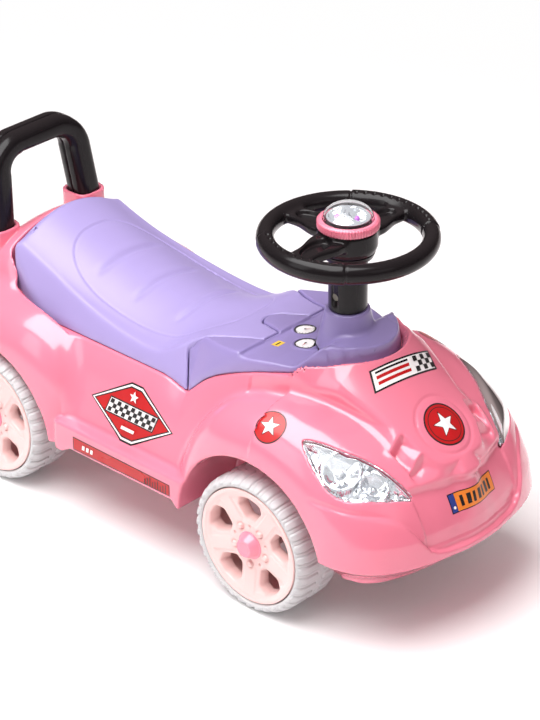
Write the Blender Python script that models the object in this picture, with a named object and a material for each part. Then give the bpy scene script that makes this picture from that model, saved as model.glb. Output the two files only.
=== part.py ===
"""Kids push car with real steering, a lift-up seat over a storage tray and a push handle.

The front of the car faces -Y, the ground is Z = 0 and the car is symmetric about X = 0.
"""

import math

import bmesh
import bpy
import numpy as np
from mathutils import Vector

# Clearances
FIT = 0.0004
SEAT_GAP = 0.0003
LID_GAP = 0.0018
SEAM_GAP = 0.0008
RUNNING_GAP = 0.0007

# Wheels
TYRE_RADIUS = 0.0725
TYRE_WIDTH = 0.058
TYRE_OUTER_X = 0.1375
TYRE_SHOULDER = 0.012
FRONT_AXLE_Y = -0.144
REAR_AXLE_Y = 0.227
TREAD_GROOVES = 24
GROOVE_DEPTH = 0.0022
DISC_RADIUS = 0.061
DISC_WALL = 0.003
DISC_DISH = 0.006
DISC_INSET = 0.0005
HUB_RISE = 0.0015
HUB_OUTER = 0.0135
HUB_RECESS = 0.007
SPOKES = 5
WINDOW_INNER = 0.026
WINDOW_OUTER = 0.051
WINDOW_HALF = 0.0125
CAP_RADIUS = 0.0165
CAP_KNOB_RADIUS = 0.0128
CAP_TOP_RADIUS = 0.0094
CAP_HEIGHT = 0.009
CAP_FLANGE = 0.0018
AXLE_RADIUS = 0.004
WASHER_RADIUS = 0.009
WASHER_THICKNESS = 0.0015
BUSH_RADIUS = 0.0085
BUSH_FLANGE = 0.0125

# Body shell
BODY_HALF_WIDTH = 0.137
NOSE_Y = -0.3245
TAIL_Y = 0.3226
WALL = 0.003
WAIST_HALF = 0.122
WAIST_Z = 0.105
WAIST_LEAN = 0.33
BUMPER_BOTTOM_Z = 0.063
LEG_BOTTOM_Z = 0.0745
SILL_BOTTOM_Z = 0.082
SILL_TOP_Z = 0.108
SILL_FRONT_Y = -0.040
SILL_REAR_Y = 0.112
FRONT_ARCH_RADIUS = 0.094
REAR_ARCH_RADIUS = 0.0845
FRONT_POCKET_X = 0.056
REAR_POCKET_X = 0.068
HOOD_TOP_Z = 0.262
HOOD_TOP_Y = -0.201
HOOD_SLOPE = 0.85
HOOD_FALL = 2.6
SHOULDER_Z = 0.188
RIM_FRONT_RISE = 0.062
RIM_FRONT_LENGTH = 0.075
RIM_REAR_RISE = 0.018
DECK_Z = 0.261
DECK_CURVE = 4.3
FRONT_FENDER_Z = 0.2165
REAR_FENDER_Z = 0.2035
FRONT_FENDER_REACH = 0.118
REAR_FENDER_REACH = 0.118

# Headlights
LAMP_CENTRE = (0.0986, -0.256, 0.1786)
LAMP_FACING = (0.293, -0.448, 0.844)
LAMP_LENGTH_WAY = (0.383, 0.864, 0.326)
LAMP_REAR_REACH = 0.0625
LAMP_FRONT_REACH = 0.0505
LAMP_UPPER_REACH = 0.018
LAMP_LOWER_REACH = 0.024
LENS_THICKNESS = 0.0024
LAMP_DEPTH = 0.012
REFLECTOR_THICKNESS = 0.0015

# Seat lid and dash
SEAT_HALF_WIDTH = 0.090
SEAT_REAR_Y = 0.2475
SEAT_TIP_Y = -0.0205
SEAT_TOP_Z = 0.2256
SEAT_REAR_RISE = 0.0445
SEAT_FRONT_RISE = 0.0145
SEAT_REAR_CORNER = 0.014
DASH_REAR_Y = -0.080
TONGUE_REAR_Y = -0.043
TONGUE_HALF_WIDTH = 0.015
TONGUE_FLARE = 0.008
DASH_FRONT_Y = -0.203
DASH_TOP_Z = 0.264
DASH_REAR_Z = 0.240
LID_WALL = 0.003
RECESS_DEPTH = 0.0035
HINGE_Y = 0.2395
HINGE_Z = 0.2535
HINGE_GAP = 0.0032
HINGE_PIN_RADIUS = 0.0015
HINGE_POST_X = 0.023
HINGE_KNUCKLE_X = 0.015
HINGE_WIDTH = 0.006

# Storage tray and floor pan
TRAY_HALF_WIDTH = 0.062
TRAY_FRONT_Y = 0.030
TRAY_REAR_Y = 0.172
TRAY_FLOOR_Z = 0.116
TRAY_WALL = 0.0025
TRAY_FLANGE = 0.007
PAN_THICKNESS = 0.003

# Steering
COLUMN_Y = -0.150
COLUMN_RADIUS = 0.019
COLUMN_BOTTOM_Z = 0.284
COLUMN_TOP_Z = 0.3447
CONE_TOP_RADIUS = 0.0215
CONE_BASE_RADIUS = 0.026
CONE_BASE_Z = 0.255
SCREW_Z = 0.300
SCREW_RADIUS = 0.002
SCREW_HEAD = 0.0038
RIM_Z = 0.358
RIM_RADIUS = 0.079
RIM_TUBE = 0.0090
HUB_RADIUS = 0.0285
HUB_TOP_Z = 0.3685
HUB_WALL = 0.003
SPOKE_WIDTH = 0.024
SPOKE_THICKNESS = 0.011
BEZEL_RADIUS = 0.0300
BEZEL_HEIGHT = 0.009
DOME_RADIUS = 0.0245
DOME_HEIGHT = 0.0140
DOME_WALL = 0.0016
HORN_TRAVEL = 0.003
ROD_RADIUS = 0.004
ROD_BOTTOM_Z = 0.0455
CRANK_ARM = 0.020
CRANK_THICKNESS = 0.0035
LINK_PIN_RADIUS = 0.002
KNUCKLE_ARM = 0.040
KNUCKLE_ARM_WIDTH = 0.010
KINGPIN_X = 0.062
KINGPIN_RADIUS = 0.003
KINGPIN_HEAD = 0.005
TIE_BAR_Z = 0.0585
TIE_BAR_HEIGHT = 0.006
TIE_BAR_WIDTH = 0.010
KNUCKLE_RADIUS = 0.009
CROSS_LOW_Z = 0.050
CROSS_LOW_THICKNESS = 0.004
CROSS_TOP_Z = 0.0905
CROSS_TOP_THICKNESS = 0.0065
CROSS_FRONT_Y = -0.160
CROSS_REAR_Y = -0.1365
CROSS_WEB_HALF = 0.045
CROSS_HALF = 0.071

# Push handle
HANDLE_FRONT_Y = 0.2685
HANDLE_DEPTH = 0.030
HANDLE_FOOT_Z = 0.250
HANDLE_TOP_Z = 0.342
HANDLE_FOOT_X = 0.061
HANDLE_BAR = 0.030
HANDLE_TOP_BAR = 0.023
HANDLE_LEAN = 0.12
HANDLE_DRAW_IN = 0.10
HANDLE_CORNER = 0.030
HANDLE_WALL = 0.003
PLUG_LENGTH = 0.046


# Materials


def material(name, colour, roughness, metallic=0.0, transmission=0.0):
    made = bpy.data.materials.new(name)
    made.use_nodes = True
    shader = made.node_tree.nodes["Principled BSDF"]
    shader.inputs["Base Color"].default_value = (*colour, 1.0)
    shader.inputs["Roughness"].default_value = roughness
    shader.inputs["Metallic"].default_value = metallic
    shader.inputs["Transmission Weight"].default_value = transmission
    return made


# Mesh helpers


def smooth_max(a, b, blend):
    overlap = np.maximum(blend - np.abs(a - b), 0) / blend
    return np.maximum(a, b) + overlap**2 * blend / 4


def smooth_min(a, b, blend):
    return -smooth_max(-a, -b, blend)


def add_object(name, points, faces, finish, origin=(0, 0, 0)):
    """A mesh object from points given in the car's own frame, with its origin at a chosen point."""
    mesh = bpy.data.meshes.new(name)
    offset = np.array(origin)
    mesh.from_pydata([tuple(np.array(p) - offset) for p in points], [], [tuple(f) for f in faces])
    builder = bmesh.new()
    builder.from_mesh(mesh)
    bmesh.ops.recalc_face_normals(builder, faces=builder.faces)
    builder.to_mesh(mesh)
    builder.free()
    mesh.shade_smooth()
    mesh.set_sharp_from_angle(angle=math.radians(35))
    made = bpy.data.objects.new(name, mesh)
    made.location = origin
    if finish is not None:
        made.data.materials.append(finish)
    bpy.context.scene.collection.objects.link(made)
    return made


def hidden(made):
    made.hide_render = True
    made.display_type = "WIRE"
    return made


def boolean(target, other, operation):
    hidden(other)
    step = target.modifiers.new(f"{operation.lower()}_{other.name}", "BOOLEAN")
    step.operation = operation
    step.solver = "EXACT"
    step.object = other


def cut(target, *cutters):
    for cutter in cutters:
        boolean(target, cutter, "DIFFERENCE")


def join(target, *others):
    for other in others:
        boolean(target, other, "UNION")


def use_manifold(*targets):
    """The exact solver loses parts of thin curved skins, which the manifold solver keeps."""
    for target in targets:
        for step in target.modifiers:
            step.solver = "MANIFOLD"


def ring_solid(name, rings, finish, origin=(0, 0, 0)):
    """Skins a stack of equal rings of points; a ring of one point closes an end."""
    points = []
    starts = []
    for ring in rings:
        starts.append(len(points))
        points.extend(ring)
    faces = []
    for first, second, a, b in zip(rings[:-1], rings[1:], starts[:-1], starts[1:]):
        count = max(len(first), len(second))
        for i in range(count):
            j = (i + 1) % count
            if len(first) == 1:
                faces.append((a, b + i, b + j))
            elif len(second) == 1:
                faces.append((a + j, a + i, b))
            else:
                faces.append((a + i, b + i, b + j, a + j))
    for ring, start in ((rings[0], starts[0]), (rings[-1], starts[-1])):
        if len(ring) > 1:
            faces.append(tuple(range(start, start + len(ring))))
    return add_object(name, points, faces, finish, origin)


def turned(name, profile, centre, axis, finish, segments=32, origin=None, groove=None):
    """Turns a profile of (radius, distance along axis) points about an axis; a closed loop makes a ring."""
    turn = Vector((0, 0, 1)).rotation_difference(Vector(axis)).to_matrix()
    middle = Vector(centre)
    closed = min(radius for radius, _ in profile) > 1e-6
    rings = []
    for step, (radius, along) in enumerate(profile):
        if radius < 1e-6:
            rings.append([tuple(middle + turn @ Vector((0, 0, along)))])
            continue
        ring = []
        for i in range(segments):
            angle = 2 * math.pi * i / segments
            reach = radius - (groove(step, i) if groove else 0)
            spot = Vector((reach * math.cos(angle), reach * math.sin(angle), along))
            ring.append(tuple(middle + turn @ spot))
        rings.append(ring)
    if not closed:
        return ring_solid(name, rings, finish, origin or centre)
    points = [p for ring in rings for p in ring]
    faces = []
    for k in range(len(rings)):
        a = k * segments
        b = (k + 1) % len(rings) * segments
        for i in range(segments):
            j = (i + 1) % segments
            faces.append((a + i, b + i, b + j, a + j))
    return add_object(name, points, faces, finish, origin or centre)


def rod(name, start, end, radius, finish, segments=16, origin=None):
    start = Vector(start)
    length = (Vector(end) - start).length
    profile = [(0, 0), (radius, 0), (radius, length), (0, length)]
    return turned(name, profile, start, Vector(end) - start, finish, segments, origin or start)


def prism(name, outline, low, high, direction, finish, origin=(0, 0, 0)):
    """An outline of points swept from low to high along a direction."""
    way = np.array(Vector(direction).normalized())
    bottom = [tuple(np.array(p) + way * low) for p in outline]
    top = [tuple(np.array(p) + way * high) for p in outline]
    return ring_solid(name, [bottom, top], finish, origin)


def block(name, low, high, finish, bevel=0.0, origin=None):
    (x0, y0, z0), (x1, y1, z1) = low, high
    outline = [(x0, y0, 0), (x1, y0, 0), (x1, y1, 0), (x0, y1, 0)]
    middle = tuple((np.array(low) + np.array(high)) / 2)
    made = prism(name, outline, z0, z1, (0, 0, 1), finish, origin or middle)
    if bevel:
        rounding = made.modifiers.new("rounding", "BEVEL")
        rounding.width = bevel
        rounding.segments = 2
    return made


def mirrored(points):
    """A right-hand half outline, from front to rear, closed by its mirror image."""
    right = list(points)
    left = [(-x, *rest) for x, *rest in reversed(right) if abs(x) > 1e-7]
    return right + left


# Body surface


def ease(t):
    t = np.clip(t, 0, 1)
    return t * t * (3 - 2 * t)


def hood_height(x, y):
    """The raised shield panel of the hood, rounder across towards the dash."""
    fall = HOOD_FALL + 60 * np.maximum(y + 0.28, 0) + 110 * np.maximum(y + 0.195, 0)
    return HOOD_TOP_Z + HOOD_SLOPE * (y - HOOD_TOP_Y) - fall * x**2


def rim_height(y):
    """Height of the body along the edge of the seat and the dash."""
    front = RIM_FRONT_RISE * (1 - np.exp(np.minimum(y - SEAT_TIP_Y, 0) / RIM_FRONT_LENGTH))
    dip = 0.007 * np.exp(-(((y - SEAT_TIP_Y) / 0.02) ** 2))
    rear_start = SEAT_REAR_Y - 0.0675
    rear = RIM_REAR_RISE * np.clip((y - rear_start) / 0.07, 0, 1) ** 1.5
    return SHOULDER_Z + front - dip + rear


def bow(x, z):
    """The front face: bowed in plan, leaning back above the middle and tucked in below."""
    return NOSE_Y + 1.9 * x**2 + 0.16 * np.maximum(z - 0.12, 0) + 1.2 * np.maximum(0.095 - z, 0)


def hull_field(x, y, z):
    """The long centre of the body: waist, hood and rear deck."""
    side = x - (WAIST_HALF - WAIST_LEAN * (z - WAIST_Z))
    middle = rim_height(y) + 5.5 * (SEAT_HALF_WIDTH**2 - x**2)
    deck = DECK_Z - DECK_CURVE * x**2
    crown = middle + (deck - middle) * ease((y - SEAT_REAR_Y + 0.03) / 0.04)
    hood = np.where(y < -0.14, hood_height(x, y), 1.0)
    top = z - smooth_min(hood, crown, 0.006)
    plan = x - 0.052 * np.sqrt(np.clip(1 - np.maximum(-0.25 - y, 0) ** 2 / 0.05**2, 0, 1)) - 0.0002
    taper = plan - 0.22 * np.maximum(y + 0.25, 0) - 0.35 * np.maximum(0.21 - z, 0)
    hood_side = np.where(y < -0.10, taper, -1.0)
    tail = y - (TAIL_Y - 0.45 * np.maximum(z - 0.17, 0) - 0.25 * np.maximum(0.12 - z, 0))
    field = smooth_max(side, top * 0.8, 0.012)
    field = smooth_max(field, hood_side * 0.9, 0.006)
    field = smooth_max(field, (bow(x, z) - y) * 0.95, 0.02)
    return smooth_max(field, tail, 0.05)


def front_field(x, y, z):
    """The front fenders and bumper as one block with its corners rounded off."""
    slope = z - (0.196 + 0.62 * (y + 0.233) - 0.35 * (x - 0.0947))
    plateau = z - (FRONT_FENDER_Z - 0.12 * (x - 0.1))
    up = (z - TYRE_RADIUS) / (FRONT_FENDER_Z - TYRE_RADIUS + 0.001)
    arc = np.hypot((y - FRONT_AXLE_Y) / FRONT_FENDER_REACH, up) - 1
    behind = np.where(y > FRONT_AXLE_Y, arc * 0.125, -1.0)
    chin = 0.105 + (z - BUMPER_BOTTOM_Z) + 2 * np.maximum(y + 0.235, 0)
    side = x - np.minimum(BODY_HALF_WIDTH, chin)
    field = smooth_max(slope * 0.82, plateau, 0.03)
    field = smooth_max(field, behind, 0.02)
    field = smooth_max(field, side, 0.05)
    return smooth_max(field, (bow(x, z) - y) * 0.95, 0.05)


def rear_field(x, y, z):
    """The rear fenders."""
    reach = np.where(y < REAR_AXLE_Y, REAR_FENDER_REACH, REAR_FENDER_REACH - 0.018)
    along = np.abs(y - REAR_AXLE_Y) / reach
    up = np.maximum(z - TYRE_RADIUS, 0) / (REAR_FENDER_Z - TYRE_RADIUS)
    arc = (along**3 + up**3) ** (1 / 3) - 1
    return smooth_max(arc * 0.12, x - BODY_HALF_WIDTH, 0.06)


def sill_field(x, y, z):
    middle = (SILL_FRONT_Y + SILL_REAR_Y) / 2
    half = (SILL_REAR_Y - SILL_FRONT_Y) / 2 + 0.02
    edge = smooth_max(x - BODY_HALF_WIDTH, z - SILL_TOP_Z, 0.008)
    return smooth_max(edge, np.abs(y - middle) - half, 0.01)


def body_field(x, y, z):
    """Negative inside the body, about zero on its skin, in metres."""
    x = np.abs(x)
    field = smooth_min(hull_field(x, y, z), front_field(x, y, z), 0.008)
    field = smooth_min(field, rear_field(x, y, z), 0.012)
    return smooth_min(field, sill_field(x, y, z), 0.005)


def march(start, way, inset, floor_z, longest=0.30):
    """Distances along rays from inside the body to its skin, or to a copy of it that lies deeper."""
    near = np.zeros(len(way))
    far = np.full(len(way), longest)
    for _ in range(26):
        reach = (near + far) / 2
        spot = start + way * reach[:, None]
        value = smooth_max(body_field(*spot.T), floor_z - spot[:, 2], 0.001) + inset
        near = np.where(value < 0, reach, near)
        far = np.where(value < 0, far, reach)
    return near


def radial_skin(inset, floor_z, stations=34, fans=5, upper=28, lower=5):
    """Rings of points where rays from a line along the car meet the body's skin."""
    core_z = 0.125
    ends = 0.195
    limit = math.radians(120)
    rows = [(-ends, math.pi / 2 * (1 - i / fans)) for i in range(fans)]
    rows += [(-ends + 2 * ends * i / stations, 0.0) for i in range(stations + 1)]
    rows += [(ends, -math.pi / 2 * i / fans) for i in range(1, fans + 1)]
    over = [-limit + 2 * limit * i / upper for i in range(upper)]
    under = [limit + (2 * math.pi - 2 * limit) * i / lower for i in range(lower)]
    rings = []
    for y, tilt in rows:
        around = np.array(over + under)
        if abs(abs(tilt) - math.pi / 2) < 1e-6:
            around = around[:1]
        flat = math.cos(tilt)
        ways = [np.sin(around) * flat, np.full_like(around, -math.sin(tilt)), np.cos(around) * flat]
        way = np.stack(ways, 1)
        start = np.array([0, y, core_z])
        reach = march(start, way, inset, floor_z)
        rings.append([tuple(p) for p in start + way * reach[:, None]])
    return rings


# Outlines seen from above


def seat_half(y):
    """Half width of the seat lid along the car."""
    rear = np.clip((y - SEAT_REAR_Y + 0.0675) / 0.0675, 0, 1)
    return SEAT_HALF_WIDTH - 0.0155 * rear**1.6


def dash_half(y):
    """Half width of the dash along the car: half an ellipse."""
    along = np.clip((SEAT_TIP_Y - y) / (SEAT_TIP_Y - DASH_FRONT_Y), 0, 1)
    return SEAT_HALF_WIDTH * np.sqrt(1 - along**2)


def seat_outline():
    """Right half of the seat lid's outline from the tongue notch to the rear edge."""
    round_y = TONGUE_REAR_Y - TONGUE_HALF_WIDTH
    right = []
    for step in range(4):
        angle = math.pi / 2 * step / 3
        reach = (TONGUE_HALF_WIDTH * math.sin(angle), TONGUE_HALF_WIDTH * math.cos(angle))
        right.append((reach[0], round_y + reach[1]))
    lobe = SEAT_HALF_WIDTH / 2
    right.append((TONGUE_HALF_WIDTH + TONGUE_FLARE, DASH_REAR_Y))
    right += [(lobe - 0.002, DASH_REAR_Y), (lobe, DASH_REAR_Y + 0.003)]
    right += [(lobe + 0.004, DASH_REAR_Y + 0.018), (lobe + 0.012, DASH_REAR_Y + 0.039)]
    right.append((SEAT_HALF_WIDTH - 0.021, SEAT_TIP_Y + 0.0025))
    right.append((SEAT_HALF_WIDTH - 0.015, SEAT_TIP_Y + 0.0125))
    right.append((SEAT_HALF_WIDTH + 0.0005, SEAT_TIP_Y))
    side_end = SEAT_REAR_Y - SEAT_REAR_CORNER
    for y in np.linspace(SEAT_TIP_Y + 0.05, side_end, 7):
        right.append((float(seat_half(y)), float(y)))
    corner_x = float(seat_half(side_end)) - SEAT_REAR_CORNER
    for angle in np.radians((60, 30, 0)):
        corner = (SEAT_REAR_CORNER * math.sin(angle), SEAT_REAR_CORNER * math.cos(angle))
        right.append((corner_x + corner[0], side_end + corner[1]))
    right.append((0.0, SEAT_REAR_Y))
    return right


def offset(outline, distance):
    """Moves each side of a closed plan outline outwards by a distance."""
    count = len(outline)
    points = [Vector(p) for p in outline]
    area = sum(points[i - 1].cross(points[i]) for i in range(count))
    side = 1 if area > 0 else -1
    moved = []
    for i in range(count):
        before = (points[i] - points[i - 1]).normalized()
        after = (points[(i + 1) % count] - points[i]).normalized()
        first = Vector((before.y, -before.x)) * side
        second = Vector((after.y, -after.x)) * side
        bisector = first + second
        moved.append(tuple(points[i] + bisector * (2 * distance / max(bisector.length_squared, 0.5))))
    return moved


def plan_prism(name, outline, low, high, finish=None):
    return prism(name, [(x, y, 0) for x, y in outline], low, high, (0, 0, 1), finish)


# Lid surfaces


def seat_top(x, y):
    x = np.abs(x)
    behind = np.maximum(y - 0.045, 0) / 0.2
    ahead = np.maximum(0.045 - y, 0) / 0.125
    centre = SEAT_TOP_Z + SEAT_REAR_RISE * behind**1.7 + SEAT_FRONT_RISE * ahead**1.5
    centre = centre - 0.010 * np.clip((y - SEAT_REAR_Y + 0.0125) / 0.0125, 0, 1) ** 2
    dish = smooth_min(4.7 * x**2, 0.0193 + 0.17 * (x - 0.064), 0.004)
    crown = centre - dish * ease((y + 0.03) / 0.06)
    return smooth_min(crown, rim_height(y) + 2.3 * (SEAT_HALF_WIDTH + 0.0005 - x), 0.006)


def dash_top(x, y):
    x = np.abs(x)
    top = DASH_REAR_Z + (DASH_TOP_Z - DASH_REAR_Z) * ease((DASH_REAR_Y + 0.012 - y) / 0.05)
    steep = 2.3 + 1.8 * ease((-0.04 - y) / 0.06)
    return smooth_min(top, rim_height(y) + steep * (dash_half(y) + 0.0005 - x), 0.008)


def lid_block(name, stations, half, top, low, columns, finish=None):
    """A solid between a level across the car and a curved top, swept along the car."""
    rings = []
    for y in stations:
        across = [half(y) * math.sin(math.pi * (i / columns - 0.5)) for i in range(columns + 1)]
        ring = [(x, y, float(top(x, y))) for x in across]
        level = float(low(y))
        ring += [(across[-1], y, level), (across[0], y, level)]
        rings.append(ring)
    return ring_solid(name, rings, finish)


def front_stations(spacing):
    """Places along the dash, closer together round its nose."""
    length = SEAT_TIP_Y - DASH_FRONT_Y
    nose = list(SEAT_TIP_Y - length * np.cos(np.radians(np.arange(4, 48, 6))))
    return nose + list(np.linspace(SEAT_TIP_Y - length * 0.64, SEAT_TIP_Y, round(length * 0.64 / spacing)))


def recess(name, grow, drop):
    """The space cut from the body for the seat and the dash."""
    rings = []
    for y in [*front_stations(0.006), *np.linspace(SEAT_TIP_Y, SEAT_REAR_Y, 46)[1:]]:
        half = float(dash_half(y) if y < SEAT_TIP_Y else seat_half(y)) + grow
        level = float(rim_height(y)) - drop
        rings.append([(-half, y, level), (half, y, level), (half, y, 0.4), (-half, y, 0.4)])
    first = [(x * 0.7, DASH_FRONT_Y - grow, z) for x, _, z in rings[0]]
    last = [(x, SEAT_REAR_Y + grow + HINGE_GAP, z) for x, _, z in rings[-1]]
    return ring_solid(name, [first, *rings, last], None)


# Body shell


def across(name, x_low, x_high, y, z, radius, finish=None, segments=32):
    return rod(name, (x_low, y, z), (x_high, y, z), radius, finish, segments)


def lamp_outline(side, shrink):
    """The headlight's drop-shaped outline in its own plane, round at the front and pointed behind."""
    length_way = Vector(LAMP_LENGTH_WAY)
    width_way = Vector(LAMP_FACING).cross(length_way)
    points = []
    for step in range(24):
        angle = 2 * math.pi * step / 24
        along = math.cos(angle)
        reach = LAMP_REAR_REACH if along > 0 else LAMP_FRONT_REACH
        width = LAMP_UPPER_REACH if math.sin(angle) > 0 else LAMP_LOWER_REACH
        taper = 1 - 0.55 * abs(along) ** 2
        skew = 0.010 * abs(along)
        p = Vector(LAMP_CENTRE) + length_way * along * (reach - shrink)
        p += width_way * (math.sin(angle) * (width - shrink) * taper + skew)
        points.append((side * p.x, p.y, p.z))
    return points


def lamp_way(side):
    return Vector((side * LAMP_FACING[0], LAMP_FACING[1], LAMP_FACING[2])).normalized()


def body_shell():
    inner = ring_solid("inner_space", radial_skin(WALL * 1.25, 0.025), None)
    spaces = []
    walls = []
    for side in (-1, 1):
        for place, y, radius, start in (
            ("front", FRONT_AXLE_Y, FRONT_ARCH_RADIUS, FRONT_POCKET_X),
            ("rear", REAR_AXLE_Y, REAR_ARCH_RADIUS, REAR_POCKET_X),
        ):
            name = f"{place}_pocket_{side}"
            z = TYRE_RADIUS
            spaces.append(across(name, side * start, side * 0.2, y, z, radius, None, 32))
            inside = side * (start - WALL)
            wall_radius = radius + WALL
            walls.append(across(name + "_wall", inside, side * 0.2, y, z, wall_radius, None, 32))
    cut(inner, *walls, recess("recess_wall", LID_GAP + WALL, RECESS_DEPTH + WALL))
    shell = ring_solid("body_shell", radial_skin(0.0, 0.040), PINK)
    profile = [(-0.45, 0.0), (-0.45, BUMPER_BOTTOM_Z), (FRONT_AXLE_Y - 0.086, BUMPER_BOTTOM_Z)]
    profile += [(FRONT_AXLE_Y - 0.076, LEG_BOTTOM_Z), (SILL_FRONT_Y - 0.008, LEG_BOTTOM_Z)]
    profile += [(SILL_FRONT_Y, SILL_BOTTOM_Z), (SILL_REAR_Y - 0.007, SILL_BOTTOM_Z)]
    profile += [(SILL_REAR_Y + 0.006, LEG_BOTTOM_Z), (0.45, LEG_BOTTOM_Z), (0.45, 0.0)]
    under = prism("underside", [(0, y, z) for y, z in profile], -0.2, 0.2, (1, 0, 0), None)
    low_tray = (-TRAY_HALF_WIDTH, TRAY_FRONT_Y, 0.15)
    high_tray = (TRAY_HALF_WIDTH, TRAY_REAR_Y, 0.25)
    tray_opening = block("tray_opening", low_tray, high_tray, None)
    rod_hole = rod("rod_hole", (0, COLUMN_Y, 0.15), (0, COLUMN_Y, 0.27), ROD_RADIUS + 0.002, None)
    cut(shell, inner, under, *spaces, recess("recess", LID_GAP, RECESS_DEPTH), tray_opening, rod_hole)
    slot_low = (-KINGPIN_X, CROSS_FRONT_Y - 0.0025, BUMPER_BOTTOM_Z)
    slot_high = (KINGPIN_X, CROSS_REAR_Y + 0.003, CROSS_TOP_Z + 0.008)
    cut(shell, block("cross_member_slot", slot_low, slot_high, None))
    for side in (-1, 1):
        lamp = prism(f"lamp_opening_{side}", lamp_outline(side, 0), -0.035, 0.02, lamp_way(side), None)
        cut(shell, lamp)
        inner_x = REAR_POCKET_X - 0.012
        ends = sorted((side * inner_x, side * (REAR_POCKET_X - 0.0005)))
        low = (ends[0], REAR_AXLE_Y - 0.020, TYRE_RADIUS - 0.0125)
        high = (ends[1], REAR_AXLE_Y + 0.020, TYRE_RADIUS + 0.030)
        join(shell, block(f"axle_bracket_{side}", low, high, None))
        bush_bore = BUSH_RADIUS + SEAT_GAP
        axle_way = (REAR_AXLE_Y, TYRE_RADIUS)
        bore = across(f"bush_bore_{side}", side * 0.04, side * 0.09, *axle_way, bush_bore)
        post_x = side * HINGE_POST_X
        half = HINGE_WIDTH / 2
        post_low = (post_x - half, HINGE_Y - 0.0025, SHOULDER_Z + 0.008)
        post_high = (post_x + half, HINGE_Y + 0.0025, HINGE_Z + 0.0025)
        join(shell, block(f"hinge_post_{side}", post_low, post_high, None))
        sleeve_low = HANDLE_FOOT_Z - PLUG_LENGTH - 0.001
        sleeve = handle_plug(f"sleeve_{side}", side, FIT + WALL, sleeve_low, HANDLE_FOOT_Z)
        join(shell, sleeve)
        cut(shell, bore, handle_plug(f"socket_{side}", side, FIT, 0.15, 0.30))
    pin_bore = HINGE_PIN_RADIUS + SEAT_GAP
    cut(shell, across("hinge_bore", -0.035, 0.035, HINGE_Y, HINGE_Z, pin_bore, None, 12))
    use_manifold(inner, shell)
    return shell


# Push handle


def rounded_section(half_width, half_depth, count=16):
    """A rounded rectangle as (across, deep) pairs."""
    section = []
    for step in range(count):
        angle = 2 * math.pi * (step + 0.5) / count
        c, s = math.cos(angle), math.sin(angle)
        wide = math.copysign(abs(c) ** 0.55, c) * half_width
        deep = math.copysign(abs(s) ** 0.55, s) * half_depth
        section.append((wide, deep))
    return section


def handle_plug(name, side, grow, low, high):
    outline = []
    middle = HANDLE_FRONT_Y + HANDLE_DEPTH / 2
    for wide, deep in rounded_section(HANDLE_BAR / 2 + grow, HANDLE_DEPTH / 2 + grow):
        outline.append((side * HANDLE_FOOT_X + wide, middle + deep, 0))
    return prism(name, outline, low, high, (0, 0, 1), None)


def handle_path():
    """Centre line of the handle as (x, z, heading) from one foot over the top to the other."""
    top = HANDLE_TOP_Z - HANDLE_TOP_BAR / 2
    apex = HANDLE_FOOT_X - HANDLE_DRAW_IN * (top - HANDLE_FOOT_Z)
    lean = math.atan(HANDLE_DRAW_IN)
    turn = math.pi / 2 - lean
    setback = HANDLE_CORNER * math.tan(turn / 2)
    leg_end = (apex + setback * math.sin(lean), top - setback * math.cos(lean))
    centre = (apex - setback, top - HANDLE_CORNER)
    path = [(HANDLE_FOOT_X, HANDLE_FOOT_Z - PLUG_LENGTH, math.pi / 2)]
    path.append((HANDLE_FOOT_X, HANDLE_FOOT_Z - 0.004, math.pi / 2))
    path.append((HANDLE_FOOT_X - 0.0006, HANDLE_FOOT_Z + 0.004, math.pi / 2 + lean / 2))
    path.append((leg_end[0], leg_end[1], math.pi / 2 + lean))
    for step in range(1, 5):
        angle = lean + turn * step / 4
        x = centre[0] + HANDLE_CORNER * math.cos(angle)
        z = centre[1] + HANDLE_CORNER * math.sin(angle)
        path.append((x, z, math.pi / 2 + angle))
    path.append((0, top, math.pi))
    mirror = [(-x, z, 2 * math.pi - heading) for x, z, heading in reversed(path[:-1])]
    return path + mirror


def handle_half(name, facing, finish):
    """The front or rear half of the hollow handle, open where the halves meet."""
    outer = [(w, d) for w, d in rounded_section(HANDLE_BAR / 2, HANDLE_DEPTH / 2) if d * facing > 0]
    outer.sort()
    limit = SEAT_GAP / 2
    outer = [(-HANDLE_BAR / 2, facing * limit), *outer, (HANDLE_BAR / 2, facing * limit)]
    shrink = 1 - 2 * HANDLE_WALL / HANDLE_BAR
    inner = [(w * shrink, d * shrink if abs(d) > limit * 1.1 else d) for w, d in reversed(outer)]
    rings = []
    for x, z, heading in handle_path():
        level = abs(math.cos(heading))
        width = (HANDLE_BAR + (HANDLE_TOP_BAR - HANDLE_BAR) * level) / HANDLE_BAR
        normal = (math.sin(heading) * width, -math.cos(heading) * width)
        rise = max(z - HANDLE_FOOT_Z, 0)
        middle = HANDLE_FRONT_Y + HANDLE_DEPTH / 2 + HANDLE_LEAN * rise
        ring = []
        for wide, deep in outer + inner:
            height = z + normal[1] * wide
            lean = HANDLE_LEAN * (height - z) if rise > 0 else 0
            ring.append((x + normal[0] * wide, middle + deep + lean, height))
        rings.append(ring)
    return ring_solid(name, rings, finish)


# Seat lid, dash and tray


def lid_underside(y):
    """Height of the ledge that the seat and the dash rest on."""
    return rim_height(y) - RECESS_DEPTH + 2 * SEAT_GAP


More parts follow.
